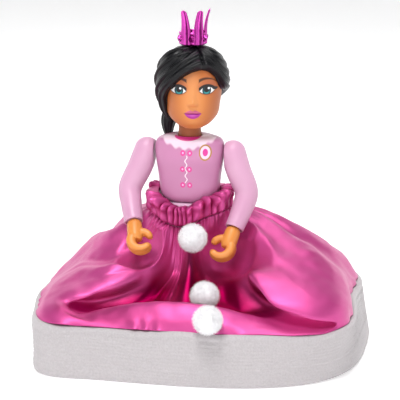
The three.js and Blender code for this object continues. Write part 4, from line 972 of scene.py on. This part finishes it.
def crown(finish):
    """Band on a pin, with leaning prongs and round bosses on one half."""
    outer, inner = CROWN_RADIUS, CROWN_RADIUS - CROWN_WALL
    under, upper = CROWN_FLOOR
    pin, pin_foot = CROWN_PIN
    # Round the section from the pin's foot: radius and height
    profile = [
        (pin, pin_foot),
        (pin, under),
        (outer - 0.35, under),
        (outer - 0.05, 0.55),
        (outer, 0.9),
        (outer - 0.12, 1.2),
        (outer - 0.12, CROWN_BAND - 0.8),
        (outer, CROWN_BAND - 0.5),
        (outer - 0.05, CROWN_BAND - 0.1),
        (outer - 0.2, CROWN_BAND),
        (inner + 0.15, CROWN_BAND),
        (inner, CROWN_BAND - 0.2),
        (inner, upper),
        (0.3, upper),
    ]
    angle = full_turn(72)
    form = Form().grid(np.array([placed(r * np.cos(angle), r * np.sin(angle), z) for r, z in profile]))
    for step in (-1, 0, 1):
        form.grid(turned(prong(), step * PRONG_SPACING, 2))
    for step in (-1.5, -0.5, 0.5, 1.5):
        form.grid(turned(boss(), step * PRONG_SPACING, 2))
    form.moved(lambda points: in_head(turned(points, CROWN_TURN, 2) + (0, 0, HAIR_TOP)))
    piece("crown_pronged", form, finish, "crown", ["crown"], sharp=50)


def prong():
    """Tapering blade with a round back and a ridged front, whose tip bends outwards."""
    height = np.linspace(-CROWN_BAND + 0.6, PRONG_LENGTH, 48)[:, None]
    up = np.clip(height / PRONG_LENGTH, 0, 1)
    width = PRONG_HALF_WIDTH * (1 - PRONG_TAPER * up)
    width = width * np.sqrt(np.clip((PRONG_LENGTH + 0.02 - height) / 0.6, 0.02, 1))
    angle = full_turn(48)
    flute = 0.2 * hump(np.abs(np.cos(angle)), 0.5, 0.2) * (np.sin(angle) < 0)
    x = width * boxy(np.cos(angle), 2.6)
    y = (0.62 * CROWN_WALL * boxy(np.sin(angle), 2.4) + flute) * np.clip(width / PRONG_HALF_WIDTH, 0.3, 1)
    y = y - CROWN_RADIUS + 0.5 * CROWN_WALL - PRONG_BEND * up**2
    return placed(x, y, height + CROWN_BAND)


def boss():
    """Round jewel with a stepped rim on the crown's band."""
    angle = full_turn(28)
    rows = []
    for radius, stand in ((0.05, 0.72), (0.5, 0.66), (0.62, 0.4), (0.95, 0.36), (1.0, 0.2), (1.0, -0.3)):
        z = 0.56 * CROWN_BAND + radius * np.sin(angle)
        rows.append(placed(radius * np.cos(angle), -CROWN_RADIUS - stand, z))
    return np.array(rows)


# Arms and hands, made for the left side about the shoulder and mirrored for the right


def arm_points():
    elbow, wrist = np.array(ELBOW, float), np.array(WRIST, float)
    upper = (SLEEVE_OUT + 0.4 * (elbow[0] - SLEEVE_OUT), 0, 0.45 * elbow[2])
    lower = (elbow[0] + 0.38 * (wrist[0] - elbow[0]), 0.4 * wrist[1], 0.5 * (elbow[2] + wrist[2]))
    return np.array([(SLEEVE_OUT, 0, 0), upper, elbow, lower, wrist])


def to_side(side):
    """Move from an arm's own axes to the figure's."""
    mirror = 1 if side == "left" else -1
    shoulder = (mirror * SHOULDER_OUT, 0, SHOULDER_AXIS)

    def move(points):
        return turned(points, -ARM_SWING[side], 0) * (mirror, 1, 1) + shoulder

    return move


def arm(side, finish):
    """Bent sleeve with a domed shoulder and a cuff edge."""
    points = arm_points()
    radii = [SLEEVE_RADIUS, SLEEVE_RADIUS, ELBOW_RADIUS, 0.5 * (ELBOW_RADIUS + CUFF_RADIUS), CUFF_RADIUS]
    tube = sweep(points, radii, 90, 64)
    top = tube[0].mean(axis=0)
    up = unit(points[0] - points[1])
    dome = []
    for angle in np.radians(np.linspace(90, 2, 14)):
        ring = (tube[0] - top) * max(math.cos(angle), 0.02)
        dome.append(ring + top + up * SLEEVE_RADIUS * math.sin(angle))
    wrist = points[4]
    along = unit(wrist - points[3])
    cuff = [wrist + (tube[-1] - wrist) * share + along * past for share, past in CUFF_EDGE]
    places = np.concatenate([dome, tube, cuff])
    places[..., 0] = np.maximum(places[..., 0], 0)
    form = Form().grid(places).moved(to_side(side))
    piece(f"{side}_sleeve", form, finish, f"{side}_arm", [f"{side}_arm"], sharp=50)


def hand_section(share):
    """Half thickness and half depth of the grip from the thumb's tip to the fingers' tips."""
    thick = np.interp(share, [0, 0.06, 0.25, 0.5, 0.75, 0.95, 1], [0.55, 0.85, 0.95, 1.25, 1.1, 0.95, 0.6])
    deep = np.interp(share, [0, 0.06, 0.28, 0.45, 0.8, 0.95, 1], [0.4, 0.62, 0.7, 1.0, 0.98, 0.9, 0.6])
    return 0.5 * FINGER_THICKNESS * thick, 0.5 * HAND_DEPTH * deep


def hand(side, finish):
    """C-grip: a thumb above, fingers below with grooves between them, on a round wrist."""
    shares = np.linspace(0, 1, 60)[:, None]
    start = GRIP_TILT + GRIP_OPENING / 2
    end = GRIP_TILT - GRIP_OPENING / 2 + 360
    angle = np.radians(start + (end - start) * shares)
    around = full_turn(48)
    thick, deep = hand_section(shares)
    across = deep * boxy(np.sin(around), HAND_SQUARENESS)
    radial = thick * boxy(np.cos(around), HAND_SQUARENESS)
    fingers = np.clip((shares - 0.58) / 0.1, 0, 1)
    lines = np.abs(np.cos(2 * np.pi * across / HAND_DEPTH * 2)) ** 6
    groove = fingers * FINGER_GROOVE * lines * (np.cos(around) > 0.2)
    reach = GRIP_RADIUS + 0.5 * FINGER_THICKNESS + radial - groove
    x = GRIP_INWARD + reach * np.cos(angle)
    form = Form().grid(placed(x, across, reach * np.sin(angle) - GRIP_DROP))
    root = GRIP_DROP - GRIP_RADIUS - 0.1 * FINGER_THICKNESS
    wrist_path = [(0, 0, -0.25), (0, 0, -1.6), (-0.2, 0, -root), (-0.5, 0, -root - 1.2)]
    form.grid(sweep(wrist_path, [0.86 * PALM_RADIUS, PALM_RADIUS, PALM_RADIUS, 0.8 * PALM_RADIUS], 24, 40))
    form.grid(sweep([(0, 0, 2.6), (0, 0, 1), (0, 0, -1)], [PEG_RADIUS] * 3, 8, 24))
    form = fused(form, grain=0.14, passes=4)
    lower, wrist = arm_points()[3:]
    up = unit(lower - wrist)
    inward = unit(np.array((-1, 0, 0)) + up * up[0])
    axes = np.stack([inward, np.cross(up, inward), up])
    form.moved(lambda points: points @ axes + wrist).moved(to_side(side))
    piece(f"{side}_grip", form, finish, f"{side}_hand", [f"{side}_hand"], sharp=60)


# Skirt: places are worked out for turns from the front, positive to the doll's left, and shares of
# the cloth's way from the waist to the hem


def wrapped(angle):
    """The same angle within half a turn of the front."""
    return np.arctan2(np.sin(angle), np.cos(angle))


def bell(angle, middle, width):
    """1 at a turn, falling away to both sides of it."""
    return hump(np.degrees(wrapped(angle - math.radians(middle))), 0, width)


def about_axis(angle, reach, height):
    """Places at a turn from the front, a distance from the figure's axis and a height."""
    return placed(reach * np.sin(angle), -reach * np.cos(angle), height)


def hem_reach(angle):
    angle = wrapped(angle)
    depth = np.where(np.cos(angle) > 0, HEM_FRONT, HEM_BACK)
    width = np.where(np.sin(angle) > 0, HEM_LEFT, HEM_RIGHT)
    across = np.abs(np.sin(angle) / width) ** HEM_SQUARENESS
    along = np.abs(np.cos(angle) / depth) ** HEM_SQUARENESS
    corner = HEM_CORNER * hump(np.degrees(angle), *HEM_CORNER_PLACE)
    return (across + along) ** (-1 / HEM_SQUARENESS) + corner


def waist_reach(angle, offset):
    across = np.sin(angle) / (WAIST_OVAL[0] + offset)
    along = np.cos(angle) / (WAIST_OVAL[1] + offset)
    return 1 / np.hypot(across, along)


def ruffle_top(angle):
    return WAIST + RUFFLE_RISE - RUFFLE_DIP * hump(np.degrees(wrapped(angle)), *RUFFLE_DIP_PLACE)


def skirt_top(angle):
    return ruffle_top(angle) - RUFFLE_HEIGHT - RIM_GAP


def hem_flare(angle):
    return HEM_FLARE * bell(angle, *HEM_FLARE_PLACE) - HEM_LEAN * bell(angle, *HEM_LEAN_PLACE)


def skirt_rims(angle):
    """Distance and height of the cloth at the waist and at the hem."""
    start = waist_reach(angle, RUFFLE_INNER + RUFFLE_THICKNESS / 2)
    end = hem_reach(angle) - HEM_THICKNESS / 2 - hem_flare(angle)
    return start, skirt_top(angle), end, HEM_HEIGHT + RIM_GAP + 0 * angle


def puff_profile(angle, share):
    """Distance and height of the cloth over its puffs."""
    start, top, end, foot = skirt_rims(angle)
    left = bell(angle, *LEFT_PUFF_PLACE)
    back = bell(angle, *BACK_PLACE) * (1 - left)
    right_side = bell(angle, *RIGHT_SIDE_PLACE)
    fullness = RIGHT_PUFF + (LEFT_PUFF - RIGHT_PUFF) * left + (BACK_PUFF - RIGHT_PUFF) * back
    fullness = fullness + RIGHT_SHELF * bell(angle, *RIGHT_SHELF_PLACE) - RIGHT_SIDE_SLACK * right_side
    out = RIGHT_PUFF_OUT + (LEFT_PUFF_OUT - RIGHT_PUFF_OUT) * left
    fall = LEFT_PUFF_FALL * left + BACK_FALL * back + RIGHT_HAND_FALL * bell(angle, *RIGHT_HAND_PLACE)
    fall = fall + LEFT_HAND_FALL * bell(angle, *LEFT_HAND_PLACE) + RIGHT_SIDE_FALL * right_side
    reaches = [start, start + SLOPE_OUT * (end - start), start + out * (end - start), end]
    heights = [top, top - fall, foot + fullness * (top - foot), foot]
    weights = [(1 - share) ** 3, 3 * share * (1 - share) ** 2, 3 * share**2 * (1 - share), share**3]
    return sum(w * r for w, r in zip(weights, reaches)), sum(w * h for w, h in zip(weights, heights))


def valley_profile(angle, share):
    """Distance and height of the cloth in the hollow in front: down to its floor, then up over a lip."""
    start, top, end, foot = skirt_rims(angle)
    wider = hem_reach(angle) / HEM_FRONT
    floor, lip = VALLEY_FLOOR[0] * wider, LIP[0] * wider
    deep = VALLEY_FLOOR[1] + 0 * angle
    lip_turn, lip_width = LIP_PLACE
    high = LIP[1] - LIP_FALL * np.minimum(((np.degrees(angle) - lip_turn) / lip_width) ** 2, LIP_LOWEST)
    way = [
        (start, top),
        (start + 0.1 * (floor - start), top - VALLEY_TOP_FALL),
        (start + 0.55 * (floor - start), top + 0.85 * (deep - top)),
        (floor, deep),
        (floor + 0.6 * (lip - floor), deep + 0.75 * (high - deep)),
        (lip, high),
        (lip + 0.65 * (end - lip), 0.5 * (high + HEM_HEIGHT)),
        (end, foot),
    ]
    points = np.moveaxis(np.array(way), 1, -1)
    padded = np.concatenate([points[:1], points, points[-1:]])
    span, step = spans_of(share, len(points) - 1)
    column = np.arange(points.shape[1])
    return cubic(*(padded[span + k, column] for k in range(4)), step).T


def valley_share(turn, share):
    """1 in the hollow, 0 on the puffs, less on the panel that comes down from the waist."""
    degrees = np.degrees(turn)
    soft = VALLEY_SOFTNESS + HAND_SOFTNESS * (1 - soft_step(share, 0.25, 0.5))
    edge = 1 - soft_step(np.abs(degrees), VALLEY_TURN - soft, VALLEY_TURN + soft)
    panel = hump(degrees, *PANEL_PLACE) * (1 - soft_step(share, 0.05, 0.45))
    return edge * (1 - PANEL_RISE * panel)


def fold_edge(turn, share):
    """Turn at which the puffs fold into the hollow: round the arms first, then out towards the hem."""
    left = LEFT_ARM_ROOM + (LEFT_FOLD - LEFT_ARM_ROOM) * soft_step(share, 0.05, 0.45)
    left = left + LEFT_FOLD_SPREAD * soft_step(share, 0.68, 1)
    right = RIGHT_ARM_ROOM + (RIGHT_FOLD - RIGHT_ARM_ROOM) * soft_step(share, 0.3, 0.6)
    right = right - RIGHT_FOLD_CURL * soft_step(share, 0.8, 0.95)
    return np.where(turn > 0, left, right)


def thread_angle(turn, share):
    """Turn at which a thread lies, drawn aside by the edges of the hollow."""
    spread = np.radians(fold_edge(turn, share) - VALLEY_TURN)
    return turn + spread * np.sin(turn) / math.sin(math.radians(VALLEY_TURN))


def long_fold(turn, share):
    """Height of the long soft folds, level at both rims."""
    drift = LONG_FOLD_DRIFT * np.sin(3 * turn + 1)
    return LONG_FOLD_DEPTH * np.sin(LONG_FOLDS * turn + drift + 1.5 * share) * np.sin(np.pi * share)


def free_cloth(turn, share):
    """The cloth as it falls by itself, rolled over at the edges of the hollow in front."""
    angle = thread_angle(turn, share)
    degrees = np.degrees(turn)
    across = (VALLEY_TURN + VALLEY_SOFTNESS - np.abs(degrees)) / (2 * VALLEY_SOFTNESS)
    ends = np.where(turn > 0, 1 - soft_step(share, 0.86, 1), 1 - soft_step(share, 0.58, 0.76))
    under = np.sin(2 * np.pi * np.clip(across, 0, 1)) * soft_step(share, 0.28, 0.5) * ends
    angle = angle - np.sign(turn) * math.radians(ROLL_TURN) * under
    puff_reach, puff_height = puff_profile(angle, share)
    low_reach, low_height = valley_profile(angle, share)
    curl = soft_step(-degrees, 33, 47) * soft_step(share, 0.68, 0.82)
    inside = valley_share(turn, share) * (1 - curl)
    height = puff_height + inside * (low_height - puff_height) + (1 - inside) * long_fold(turn, share)
    return about_axis(angle, puff_reach + inside * (low_reach - puff_reach), height)


def pressing_balls():
    """Middles, radii and softness of what the cloth gives way to: forearms, hands and pompoms."""
    balls = []
    points = arm_points()
    grip = points[4] + unit(points[4] - points[3]) * GRIP_DROP
    sleeve_room, sleeve_soft = FOREARM_PRESS
    ball_room, ball_soft = POMPOM_PRESS
    for side in ("left", "right"):
        move = to_side(side)
        balls.append((move(grip), *HAND_PRESS))
        for share in (0.5, 0.6, 0.7, 0.8, 0.9, 1.0):
            radius = ELBOW_RADIUS + (CUFF_RADIUS - ELBOW_RADIUS) * (2 * share - 1)
            balls.append((move(through(points, [share])[0]), radius + sleeve_room, sleeve_soft))
    for name in POMPOMS:
        balls.append((node_middle(name) - FIGURE_PLACE, POMPOM_RADIUS + ball_room, ball_soft))
    return balls


def pressed(places, share):
    """Places moved clear of what lies on the cloth, except at its rims."""
    free = np.minimum(1, 12 * np.minimum(share, 1 - share))[:, None]
    for middle, radius, soft in 2 * pressing_balls():
        away = places - middle
        distance = np.linalg.norm(away, axis=1, keepdims=True)
        near = np.maximum(soft - np.abs(distance - radius), 0) / soft
        push = np.maximum(radius - distance, 0) + near * near * soft / 4
        places = places + away / distance * push * free
    return places


def cloth_normals(places):
    grid = places.reshape(SKIRT_ROWS, SKIRT_COLUMNS, 3)
    round_step = np.roll(grid, -1, axis=1) - np.roll(grid, 1, axis=1)
    normal = -np.cross(round_step, np.gradient(grid, axis=0))
    return (normal / np.maximum(np.linalg.norm(normal, axis=-1, keepdims=True), 1e-9)).reshape(-1, 3)


def wrinkles(turn, share, places):
    """Gathers under the waist, long tension folds and small creases, as a height of the cloth."""
    # Waves of unlike counts round the skirt, so that no stretch repeats another
    jitter = 0.9 * np.sin(5 * turn + 0.4) + 0.6 * np.sin(11 * turn + 2)
    gathers = np.sin(34 * turn + 2 * jitter) + 0.6 * np.sin(53 * turn - jitter)
    gathers *= GATHER_HEIGHT * np.exp(-share / GATHER_LENGTH)
    folds = np.sin(13 * turn + 1.4 * jitter + 1.5 * share) + 0.6 * np.sin(21 * turn - 2 * jitter + 2 * share)
    folds *= TENSION_HEIGHT * np.sin(np.pi * share**0.7) ** 1.5 * (1 - 0.6 * share)
    pucker = PUCKER_HEIGHT * np.sin(29 * turn + 3 * jitter) * np.exp(-(1 - share) / GATHER_LENGTH)
    creases = np.array([noise.noise(Vector(place) * 0.11) for place in places])
    small = np.array([noise.noise(Vector(place) * 0.3 + Vector((7, 3, 1))) for place in places])
    small = SMALL_CREASE_HEIGHT * small * np.sin(np.pi * share)
    return gathers + folds + pucker + CREASE_HEIGHT * creases + small


def painted_fold_shade(turn, share):
    """Painted shade of the hollow in front, least on the panel in its middle, with some over the lip and a
    painted shadow under the hand at the doll's left.
    """
    degrees = np.degrees(turn)
    between = 1 - soft_step(np.abs(degrees), VALLEY_TURN - 8, VALLEY_TURN + 1)
    panel = 1 - 0.4 * hump(degrees, -4, 7)
    along = soft_step(share, 0.08, 0.3) * (1 - soft_step(share, 0.58, 0.7))
    # Painted shade over the lip, which darkens its front
    lip = 0.16 + 0.24 * soft_step(-degrees, 5, 28)
    lip = lip * soft_step(share, 0.66, 0.74) * (1 - soft_step(share, 0.88, 0.98))
    lip = lip * (1 - soft_step(degrees, 5, 20)) * (1 - soft_step(-degrees, 40, 52))
    # Painted shadow of the hand at the doll's left
    painted_hand_shadow = 0.75 * hump(degrees, 42, 9) * hump(share, 0.42, 0.16)
    return np.maximum(between * panel * along + lip, painted_hand_shadow)


def painted_pocket_light(turn, share):
    """How much painted light the cloth gives off at both ends of the hollow."""
    glow = 0
    for strength, middle, width, level, length in PAINTED_POCKET_LIGHTS:
        glow = glow + strength * (hump(np.degrees(turn), middle, width) * hump(share, level, length))
    return glow


def skirt(finish):
    """Gathered satin with its hang, wrinkles and thickness."""
    even = full_turn(SKIRT_COLUMNS, -np.pi)
    turns = even - FRONT_CROWDING * np.sin(even)
    shares = np.linspace(0, 1, SKIRT_ROWS)
    share, turn = (part.ravel() for part in np.meshgrid(shares, turns, indexing="ij"))
    places = pressed(free_cloth(turn, share), share)
    places = places + cloth_normals(places) * wrinkles(turn, share, places)[:, None]
    places = pressed(places, share)
    places[:, 2] = np.minimum(places[:, 2], skirt_top(thread_angle(turn, share)))
    form = Form().grid(places.reshape(SKIRT_ROWS, SKIRT_COLUMNS, 3), capped=False)
    made = piece("satin_skirt", form, finish, "figure", ["skirt"], sharp=180)
    # Painted shade in the hollow, over the lip and under the left hand, read by the satin finish
    add_mark(made, "fold", painted_fold_shade(turn, share))
    # Painted light: a glow of the cloth at both ends of the hollow
    add_mark(made, "glow", painted_pocket_light(turn, share))
    thick = made.modifiers.new("cloth", "SOLIDIFY")
    thick.thickness = CLOTH_THICKNESS * MM
    thick.offset = -1
    return made


def body_reach(angle, height):
    """Distance to the torso's outside, or to the hips under it."""
    sizes = np.array(torso_outline())
    half_width, half_depth = (
        np.maximum(np.interp(height - WAIST, sizes[:, 2], sizes[:, k]), HIPS[k]) for k in (0, 1)
    )
    across = np.abs(np.sin(angle) / half_width) ** TORSO_SQUARENESS
    along = np.abs(np.cos(angle) / half_depth) ** TORSO_SQUARENESS
    return (across + along) ** (-1 / TORSO_SQUARENESS)


def ruffle(finish):
    """Gathered frill over the elastic: upright pleats, fuller at both sides, turned in at the top."""
    turn = full_turn(RUFFLE_COLUMNS, -np.pi)
    bunch = sum(fullness * bell(turn, *place) for fullness, *place in RUFFLE_BUNCHES)
    uneven = RUFFLE_PLEATS / 2 * (turn + 0.09 * np.sin(3 * turn + 1) + 0.05 * np.sin(7 * turn + 0.5))
    pleat = np.abs(np.sin(uneven))
    number = np.floor(uneven / np.pi)
    # Two values from 0 to 1 that jump from pleat to pleat
    chance = (np.sin(12.9 * number + 4.1) * 437.5) % 1
    other = (np.sin(7.3 * number + 1.7) * 291.3) % 1
    top = ruffle_top(turn)
    inner = body_reach(turn, top + 0.3) + 0.45 - waist_reach(turn, 0)
    # Round the section from its inner foot: share of the height, place over the elastic, share of the pleats
    ways = [
        (0, 1.1, 0), (0, 2.6, 0.3), (0.1, 3.1, 0.7), (0.22, 3.2, 0.9), (0.36, 3.1, 1), (0.5, 3, 0.9),
        (0.64, 3.2, 1), (0.78, 3.5, 1), (0.9, 3.4, 1), (1, 3, 0.9), (1.05, 2.3, 0.7), (1.04, 1.4, 0.4),
        (0.98, 0.7, 0.15), (0.9, 0.6, 0), (0.84, 0.9, 0), (0.78, 1.1, 0), (0.25, 1.1, 0),
    ]
    rise, stand, share = (np.array(column)[:, None] for column in zip(*ways))
    turned_in = soft_step(2.4 - stand, 0, 1.6) * soft_step(rise, 0.82, 0.95)
    crumple = np.sin(5 * rise + 9 * chance) * np.sin(17 * turn + 6 * other)
    swell = (0.5 + 0.9 * chance + 0.6 * bunch) * pleat - 0.55 + bunch * (0.3 + 0.5 * crumple) + 0.25 * crumple
    offsets = stand + share * swell
    offsets = offsets + turned_in * (np.minimum(inner, offsets) - offsets)
    wave = share * rise * pleat * (1.6 * other - 0.5 + 0.5 * bunch)
    heights = top - RUFFLE_HEIGHT + rise * RUFFLE_HEIGHT + wave
    angle = turn + 0.16 * (chance - 0.5) * pleat * share * (rise - 0.3)
    form = Form().grid(about_axis(angle, waist_reach(angle, offsets), heights), round_rows=True)
    made = piece("satin_ruffle", form, finish, "figure", ["waist_ruffle"], sharp=180)
    # Painted shade in the grooves between the pleats and on the turned-in top
    add_mark(made, "fold", (0.7 * share * (1 - pleat) ** 1.5 + 0.4 * turned_in).ravel())
    smooth = made.modifiers.new("round", "SUBSURF")
    smooth.levels = smooth.render_levels = 1
    return made


def hem_relief(turn, rise):
    """Soft swells and flat creases of the fleece, by turn and share of the band's height."""
    swell = 0.35 * np.sin(3 * turn + 1) * np.sin(np.pi * rise) + 0.25 * np.sin(8 * turn + 2 * rise)
    crease = 0
    for level, depth, slope in HEM_CREASES:
        middle = level + slope * np.sin(2 * turn + 5 * level)
        crease = crease - depth * hump(rise, middle, 0.03) * (0.6 + 0.4 * np.sin(3 * turn + 9 * level))
    ribs = 0.045 * np.sin(2 * np.pi * HEM_RIBS * rise + 0.8 * np.sin(4 * turn))
    return swell + crease + ribs


def hem_face(turn, height):
    """Distance to the hem's outer face, which leans in at the doll's left."""
    return hem_reach(turn) - hem_flare(turn) * height / HEM_HEIGHT


def hem_edges(rise):
    """How near a share of the hem's height lies to its foot and to its top, from 0 to 1."""
    return np.clip(1 - rise / HEM_EDGE, 0, 1), np.clip(1 - (1 - rise) / HEM_EDGE, 0, 1)


def hem(finish):
    """Folded fleece: soft outer face, rounded edges and a flat foot."""
    turn = full_turn(720, -np.pi)
    rise = np.linspace(0, 1, 110)
    bottom, top = hem_edges(rise)
    pull = 0.95 * (1 - np.sqrt(1 - 0.98 * bottom**2)) + 1.3 * (1 - np.sqrt(1 - 0.98 * top**2))
    outer = -pull[:, None] + hem_relief(turn[None], rise[:, None]) * np.sin(np.pi * rise)[:, None] ** 0.5
    wave = 0.35 * np.sin(5 * turn + 0.5) + 0.25 * np.sin(13 * turn)
    outer_heights = rise[:, None] * HEM_HEIGHT + (rise[:, None] ** 3) * wave
    inner_heights = np.linspace(1, 0, 12)[:, None] * HEM_HEIGHT + 0 * turn
    offsets = np.concatenate([outer, np.full(inner_heights.shape, -HEM_THICKNESS)])
    heights = np.concatenate([outer_heights, inner_heights])
    form = Form().grid(about_axis(turn, hem_face(turn[None], heights) + offsets, heights), round_rows=True)
    return piece("fleece_band", form, finish, "figure", ["fleece_hem"], sharp=180)


def hem_pile(finish, rng):
    """Loose fibres that soften the hem's outline."""
    count = 18000
    turn = rng.uniform(-np.pi, np.pi, count)
    rise = rng.uniform(0.04, 1.0, count)
    relief = 0.8 * hem_relief(turn, rise) * np.sqrt(np.sin(np.pi * np.clip(rise, 0.02, 0.98)))
    bottom, top = hem_edges(rise)
    reach = hem_face(turn, rise * HEM_HEIGHT) - 0.25 + relief
    reach -= 1.1 * top**2 + 0.8 * bottom**2
    roots = about_axis(turn, reach, rise * (HEM_HEIGHT - 0.1))
    lean = unit(about_axis(turn, 1, 0) + 0.7 * rng.normal(size=(count, 3)))
    tips = roots + lean * rng.uniform(0.3, 0.65, (count, 1))
    tips[:, 2] = np.maximum(tips[:, 2], 0.02)
    return piece("fleece_pile", Form().fibres(roots, tips, rng), finish, "figure", sharp=180)


def pompom(name, finish, rng):
    """Ball of loose fibre round a soft core."""
    count = 9000
    middle = node_middle(name) - FIGURE_PLACE
    ball = [(0.05, 0.05, -1), (0.7, 0.7, -0.72), (1, 1, 0), (0.7, 0.7, 0.72), (0.05, 0.05, 1)]
    core = unit(barrel(ball, rows=40, sides=60))
    bumps = np.array([noise.noise(Vector(place) * 2.6 + Vector(middle)) for place in core.reshape(-1, 3)])
    core = core * (POMPOM_RADIUS * 0.84 + 0.25 * bumps.reshape(core.shape[:2]))[..., None]
    out = unit(rng.normal(size=(count, 3)))
    bent = unit(out + 0.3 * rng.normal(size=(count, 3)))
    roots = out * POMPOM_RADIUS * 0.74
    tips = bent * POMPOM_RADIUS * rng.uniform(0.9, 1.06, (count, 1))
    form = Form().grid(core + middle).fibres(roots + middle, tips + middle, rng)
    return piece(f"{name}_fluff", form, finish, "figure", [name], sharp=180)


# Carried-over solids


def smooth_by_angle():
    """Node group that shades a solid smooth with crisp edges."""
    group = bpy.data.node_groups.new("smooth_by_angle", "GeometryNodeTree")
    for way in ("INPUT", "OUTPUT"):
        group.interface.new_socket("Geometry", in_out=way, socket_type="NodeSocketGeometry")
    start = group.nodes.new("NodeGroupInput")
    end = group.nodes.new("NodeGroupOutput")
    angle = group.nodes.new("GeometryNodeInputMeshEdgeAngle")
    gentle = group.nodes.new("FunctionNodeCompare")
    gentle.operation = "LESS_THAN"
    gentle.inputs[1].default_value = math.radians(32)
    faces = group.nodes.new("GeometryNodeSetShadeSmooth")
    edges = group.nodes.new("GeometryNodeSetShadeSmooth")
    edges.domain = "EDGE"
    group.links.new(angle.outputs[0], gentle.inputs[0])
    group.links.new(start.outputs[0], faces.inputs[0])
    group.links.new(faces.outputs[0], edges.inputs[0])
    group.links.new(gentle.outputs[0], edges.inputs["Shade Smooth"])
    group.links.new(edges.outputs[0], end.inputs[0])
    return group


def dress_solid(name, finish, shading):
    """Gives a solid of the frame its finish and its shading."""
    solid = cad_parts[name]
    for slot in solid.material_slots:
        slot.material = finish.material
    solid.modifiers.new("shading", "NODES").node_group = shading


# Studio


def area_light(name, place, size, power):
    light = bpy.data.lights.new(name, "AREA")
    light.shape = "DISK"
    light.size = size * MM
    light.energy = power
    lamp = add_object(name, light)
    lamp.location = Vector(place) * MM
    lamp.rotation_euler = (Vector(place) - Vector(VIEW_TARGET)).to_track_quat("Z", "Y").to_euler()


def floor_finish():
    """Pale matt floor with some light of its own, more of it far off."""
    finish = Finish("pale_floor", Roughness=0.9, Specular_IOR_Level=0.1, Emission_Strength=1.0)
    limits = dict(zip(("From Min", "From Max", "To Min", "To Max"), FLOOR_LIGHT_SPAN + FLOOR_LIGHT))
    away = finish.node("ShaderNodeVectorMath", {"operation": "LENGTH"}, {0: finish.place()}, "Value")
    finish.set("Emission Color", finish.node("ShaderNodeMapRange", inputs={"Value": away, **limits}))
    finish.tint(finish.noise(grain=60), (246, 246, 247), (252, 252, 252))
    return finish


def studio():
    """Floor that rises into a round cove far off, and soft lights."""
    bend = np.radians(np.linspace(5, 90, 18))
    reach = [0.01, 500, *(FLOOR_REACH + COVE_RADIUS * np.sin(bend)), FLOOR_REACH + COVE_RADIUS]
    height = [0, 0, *(COVE_RADIUS * (1 - np.cos(bend))), COVE_HEIGHT]
    around = np.radians(np.arange(0, 360, 5))
    rows = [about_axis(around, radius, rise - FLOOR_DROP) for radius, rise in zip(reach, height)]
    mesh = Form().grid(np.array(rows), capped=False).mesh("floor", scale=MM)
    for face in mesh.polygons:
        face.use_smooth = True
    mesh.materials.append(floor_finish().material)
    floor = add_object("floor", mesh)
    world = bpy.data.worlds.new("studio")
    world.use_nodes = True
    light = world.node_tree.nodes["Background"].inputs
    light["Color"].default_value = (1, 1, 1, 1)
    light["Strength"].default_value = WORLD_LIGHT
    bpy.context.scene.world = world
    for lamp in LIGHTS:
        area_light(*lamp)
    bpy.context.scene.view_settings.view_transform = "Standard"


def camera():
    view = bpy.data.cameras.new("camera")
    view.angle = 2 * math.atan(PIXEL * FRAME_PIXELS / 2 / VIEW_DISTANCE)
    view.shift_x = (FRAME_PIXELS / 2 - TARGET_PIXEL[0]) / FRAME_PIXELS
    view.shift_y = (TARGET_PIXEL[1] - FRAME_PIXELS / 2) / FRAME_PIXELS
    view.clip_start = 0.01
    view.clip_end = 10
    azimuth, elevation = math.radians(VIEW_AZIMUTH), math.radians(VIEW_ELEVATION)
    level = math.cos(elevation)
    back = Vector((math.sin(azimuth) * level, -math.cos(azimuth) * level, math.sin(elevation)))
    eye = add_object("camera", view)
    eye.location = (Vector(VIEW_TARGET) + back * VIEW_DISTANCE) * MM
    eye.rotation_euler = back.to_track_quat("Z", "Y").to_euler()
    bpy.context.scene.camera = eye


def build():
    """Makes every piece, with one source of chance for the loose fibres."""
    rng = np.random.default_rng(7)
    pink = plastic("pink_plastic", (214, 166, 194), (202, 148, 180), roughness=0.36)
    pale = plastic("pale_plastic", (240, 200, 226), (230, 186, 216), roughness=0.4)
    skin = plastic("skin_plastic", (230, 152, 74), (214, 130, 56), roughness=0.42)
    # Painted shadow: the neck's plastic is darker, as if in the shadow of the head
    painted_shadow_skin = plastic("neck_in_painted_shadow", (158, 82, 36), (140, 68, 28), roughness=0.5)
    satin = satin_finish()
    pile = fleece_finish("fleece", 0.5, 0.2, (168, 162, 164), (198, 193, 195))
    fluff = fleece_finish("fluff", 0.8, 0.05, (240, 239, 242), (253, 253, 253))
    elastic = fleece_finish("elastic", 0.4, 0.1, (220, 216, 220), (240, 238, 240))
    steel = metal_finish()
    shading = smooth_by_angle()
    torso_half("torso_front", -1, bodice_finish())
    torso_half("torso_back", 1, pink)
    neck(painted_shadow_skin)
    head(skin_finish())
    hair(hair_finish())
    crown(crown_finish())
    for side in ("left", "right"):
        arm(side, pink)
        hand(side, skin)
        dress_solid(f"{side}_thigh", pale, shading)
        dress_solid(f"{side}_shin", pale, shading)
        dress_solid(f"{side}_knee_pin", steel, shading)
    dress_solid("hip_block", pale, shading)
    dress_solid("hip_axle", steel, shading)
    dress_solid("waist_elastic", elastic, shading)
    cloth = skirt(satin)
    trim = [ruffle(satin), hem(pile), hem_pile(pile, rng)]
    trim += [pompom(name, fluff, rng) for name in POMPOMS]


build()
studio()
camera()
